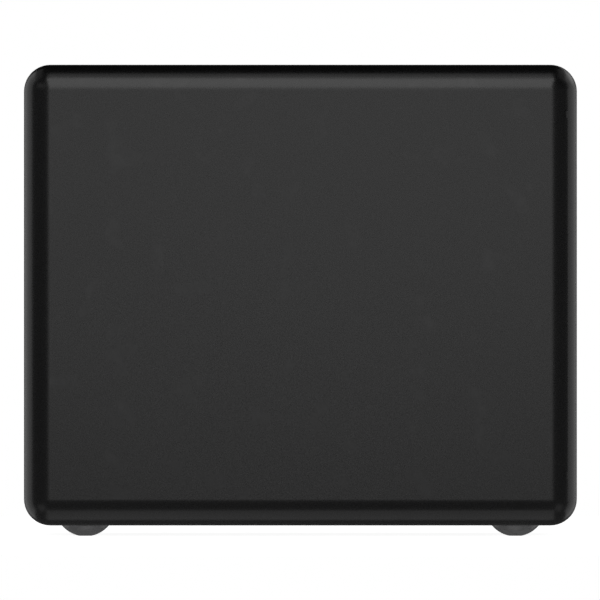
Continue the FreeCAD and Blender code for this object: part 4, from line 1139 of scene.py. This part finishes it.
@dataclass
class Fan:
    """The exhaust fan: a moulded frame and a rotor with swept, cambered blades."""

    hub_radius: float = 16.0 * MM
    hub_front: float = 3.4 * MM
    hub_deep: float = 18.0 * MM
    hub_wall: float = 1.4 * MM
    dish: float = 0.5 * MM
    dish_share: float = 0.52
    slope_share: float = 0.56
    shoulder: float = 1.6 * MM
    bore_radius: float = 1.55 * MM
    stub_radius: float = 3.5 * MM
    stub_end: float = 9.5 * MM
    blades: int = 7
    tip_radius: float = 35.6 * MM
    root_chord: float = 13.0 * MM
    tip_chord: float = 19.0 * MM
    root_rise: float = 11.0 * MM
    tip_rise: float = 7.5 * MM
    camber: float = 1.6 * MM
    sweep: float = 16.0
    blade_thick: float = 1.1 * MM
    blade_middle: float = 12.5 * MM
    steps_along: int = 10
    steps_out: int = 8

    def hub(self, bench: Bench) -> None:
        """Turn the cup that carries the blades, with a dished front and a rounded shoulder."""
        front, outer, wall, dish = self.hub_front, self.hub_radius, self.hub_wall, self.dish
        back, inside = front + self.hub_deep, front + wall + dish
        outline = [
            (self.bore_radius, front + dish),
            (outer * self.dish_share, front + dish),
            (outer * self.slope_share, front),
            (outer - self.shoulder, front),
            (outer - dish, front + dish),
            (outer, front + self.shoulder),
            (outer, back),
            (outer - wall, back),
            (outer - wall, inside),
            (self.stub_radius, inside),
            (self.stub_radius, self.stub_end),
            (self.bore_radius, self.stub_end),
        ]
        bench.turned(outline)

    def blade(self, bench: Bench) -> None:
        """Sweep and camber one blade from a flat grid, and give it its thickness."""
        steps = {"x_segments": self.steps_along, "y_segments": self.steps_out}
        made = bmesh.ops.create_grid(bench.mesh, size=0.5, **steps)["verts"]
        root = self.hub_radius - self.hub_wall / 2
        for corner in made:
            along, out = corner.co.x, corner.co.y + 0.5
            radius = root + (self.tip_radius - root) * out
            chord = self.root_chord + (self.tip_chord - self.root_chord) * out
            rise = self.root_rise + (self.tip_rise - self.root_rise) * out
            angle = along * chord / radius + math.radians(self.sweep) * out * out
            height = self.blade_middle + along * rise + self.camber * (0.25 - along * along) * 2
            corner.co = (radius * math.cos(angle), radius * math.sin(angle), height)
        faces = list({face for corner in made for face in corner.link_faces})
        bmesh.ops.solidify(bench.mesh, geom=faces, thickness=self.blade_thick)

    def rotor(self) -> None:
        """Make the rotor on the Z axis, then turn it to blow rearward."""
        bench = Bench()
        self.blade(bench)
        parts = bench.whole()
        for number in range(1, self.blades):
            copy = bmesh.ops.duplicate(bench.mesh, geom=parts)["geom"]
            turn = Matrix.Rotation(math.tau * number / self.blades, 3, "Z")
            bmesh.ops.rotate(bench.mesh, verts=corners_in(copy), cent=(0, 0, 0), matrix=turn)
        self.hub(bench)
        extent = Extent.of("fan_frame")
        stand = Matrix.Translation((extent.middle.x, extent.low.y, extent.middle.z))
        place = stand @ Matrix.Rotation(-math.pi / 2, 4, "X")
        bmesh.ops.transform(bench.mesh, verts=bench.mesh.verts, matrix=place)
        bmesh.ops.recalc_face_normals(bench.mesh, faces=bench.mesh.faces)
        bench.finish("fan_rotor_bladed", Palette.FAN, "fan_rotor", replaces=True)

    def build(self) -> None:
        """Make the frame and the rotor."""
        soften("fan_frame")
        self.rotor()


# ---- studio ----


@dataclass
class Softbox:
    """A rectangular studio lamp that the camera doesn't see, placed and sized by angles."""

    name: str
    bearing: float
    lift: float
    wide: float
    tall: float
    level: float
    distance: float = 1.1

    def build(self, aim: Vector) -> None:
        """Hang the lamp and point it at the machine.

        Args:
            aim: The middle of the machine.
        """
        turn, rise = math.radians(self.bearing), math.radians(self.lift)
        flat = math.cos(rise)
        out = Vector((flat * math.cos(turn), flat * math.sin(turn), math.sin(rise)))
        lamp = bpy.data.lights.new(self.name, "AREA")
        lamp.shape = "RECTANGLE"
        lamp.size = 2 * self.distance * math.tan(math.radians(self.wide / 2))
        lamp.size_y = 2 * self.distance * math.tan(math.radians(self.tall / 2))
        lamp.energy = self.level * math.pi * lamp.size * lamp.size_y
        hung = placed(self.name, lamp)
        hung.location = aim + out * self.distance
        hung.rotation_euler = out.to_track_quat("Z", "Y").to_euler()
        hung.visible_camera = False


@dataclass
class Studio:
    """Floor, lamps, surroundings and camera."""

    field_wide: float = 162.62 * MM
    camera_far: float = 7.4
    camera_height: float = 64.03 * MM
    camera_shift: float = -0.11 * MM
    sensor: float = 36.0
    floor_radius: float = 0.6
    floor_glow: float = 0.93
    ambient: float = 0.065
    fade: tuple[float, float] = (0.1, 0.45)
    lamps: list[Softbox] = field(
        default_factory=lambda: [
            Softbox("low_banner", 1, 5.5, 27, 21, 1.0, 0.8),
            Softbox("high_banner", 0, 38, 25, 44, 1.95),
            Softbox("top_box", 0, 70, 25, 20, 0.6),
            Softbox("front_side_box", -115, 0, 60, 84, 0.62),
            Softbox("rear_side_box", 115, 0, 60, 84, 0.62),
            Softbox("low_strip", 0, -75, 30, 50, 0.43),
            Softbox("front_low_fill", -45, -36, 26, 24, 0.3),
            Softbox("rear_low_fill", 45, -36, 26, 24, 0.3),
            Softbox("rear_top_fill", 135, 28, 44, 20, 0.5),
            Softbox("front_top_fill", -45, 24, 34, 16, 0.35),
            Softbox("rear_overhead", 102, 50, 50, 28, 0.2),
            Softbox("front_overhead", -102, 50, 50, 28, 0.2),
        ]
    )

    def floor(self) -> None:
        """Lay a plain pale floor."""
        mesh = bmesh.new()
        bmesh.ops.create_circle(mesh, cap_ends=True, segments=96, radius=self.floor_radius)
        data = bpy.data.meshes.new("floor")
        mesh.to_mesh(data)
        mesh.free()
        piece = placed("floor", data)
        graph = Graph("floor_paint")
        cloud = graph.noise(0.05, 2.0)
        graph.set(
            base_color=graph.blend((0.8, 0.8, 0.8), (0.84, 0.84, 0.84), cloud),
            roughness=0.9,
            emission_color=(1.0, 1.0, 1.0),
            emission_strength=self.floor_glow,
        )
        data.materials.append(graph.material)
        piece.visible_glossy = False
        piece.visible_shadow = False
        piece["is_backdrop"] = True

    def surroundings(self) -> None:
        """Show the camera white, and light the machine from round about and below, not from above."""
        world = bpy.data.worlds.new("studio_air")
        world.use_nodes = True
        bpy.context.scene.world = world
        world.node_tree.nodes.clear()
        air = Wiring(world.node_tree)
        way = air.node("ShaderNodeTexCoord").outputs["Generated"]
        height = air.node("ShaderNodeSeparateXYZ", None, {0: way}).outputs["Z"]
        low, high = self.fade
        glow = Channel(air, height).fall(low, high) * self.ambient
        white = (1.0, 1.0, 1.0)
        seen = air.node("ShaderNodeBackground", None, {"Color": white}).outputs[0]
        felt = air.node("ShaderNodeBackground", None, {"Color": white, "Strength": glow}).outputs[0]
        direct = air.node("ShaderNodeLightPath").outputs["Is Camera Ray"]
        either = air.node("ShaderNodeMixShader", None, {0: direct, 1: felt, 2: seen}).outputs[0]
        air.node("ShaderNodeOutputWorld", None, {"Surface": either})

    def camera(self) -> None:
        """Stand the camera far off the right-hand side, level with the middle of the view."""
        lens = bpy.data.cameras.new("camera")
        near = self.camera_far - CAD_HIGH[0]
        lens.sensor_width = self.sensor
        lens.lens = self.sensor * near / self.field_wide
        lens.clip_end = 100.0
        stand = placed("camera", lens)
        stand.location = (self.camera_far, self.camera_shift, self.camera_height)
        stand.rotation_euler = (math.radians(90), 0.0, math.radians(90))
        bpy.context.scene.camera = stand

    def build(self) -> None:
        """Set up the whole studio."""
        bpy.context.scene.view_settings.view_transform = "Standard"
        aim = Vector((0.0, 0.0, CAD_HIGH[2] / 2))
        self.floor()
        self.surroundings()
        for lamp in self.lamps:
            lamp.build(aim)
        self.camera()
        log.info("studio with %d lamps", len(self.lamps))


def main() -> None:
    """Build everything in order."""
    Studio().build()
    dress_frame()
    for assembly in (Case(), Front(), Connectors(), Rear(), Fan()):
        assembly.build()
        log.info("built %s", type(assembly).__name__)


if __name__ == "__main__":
    main()
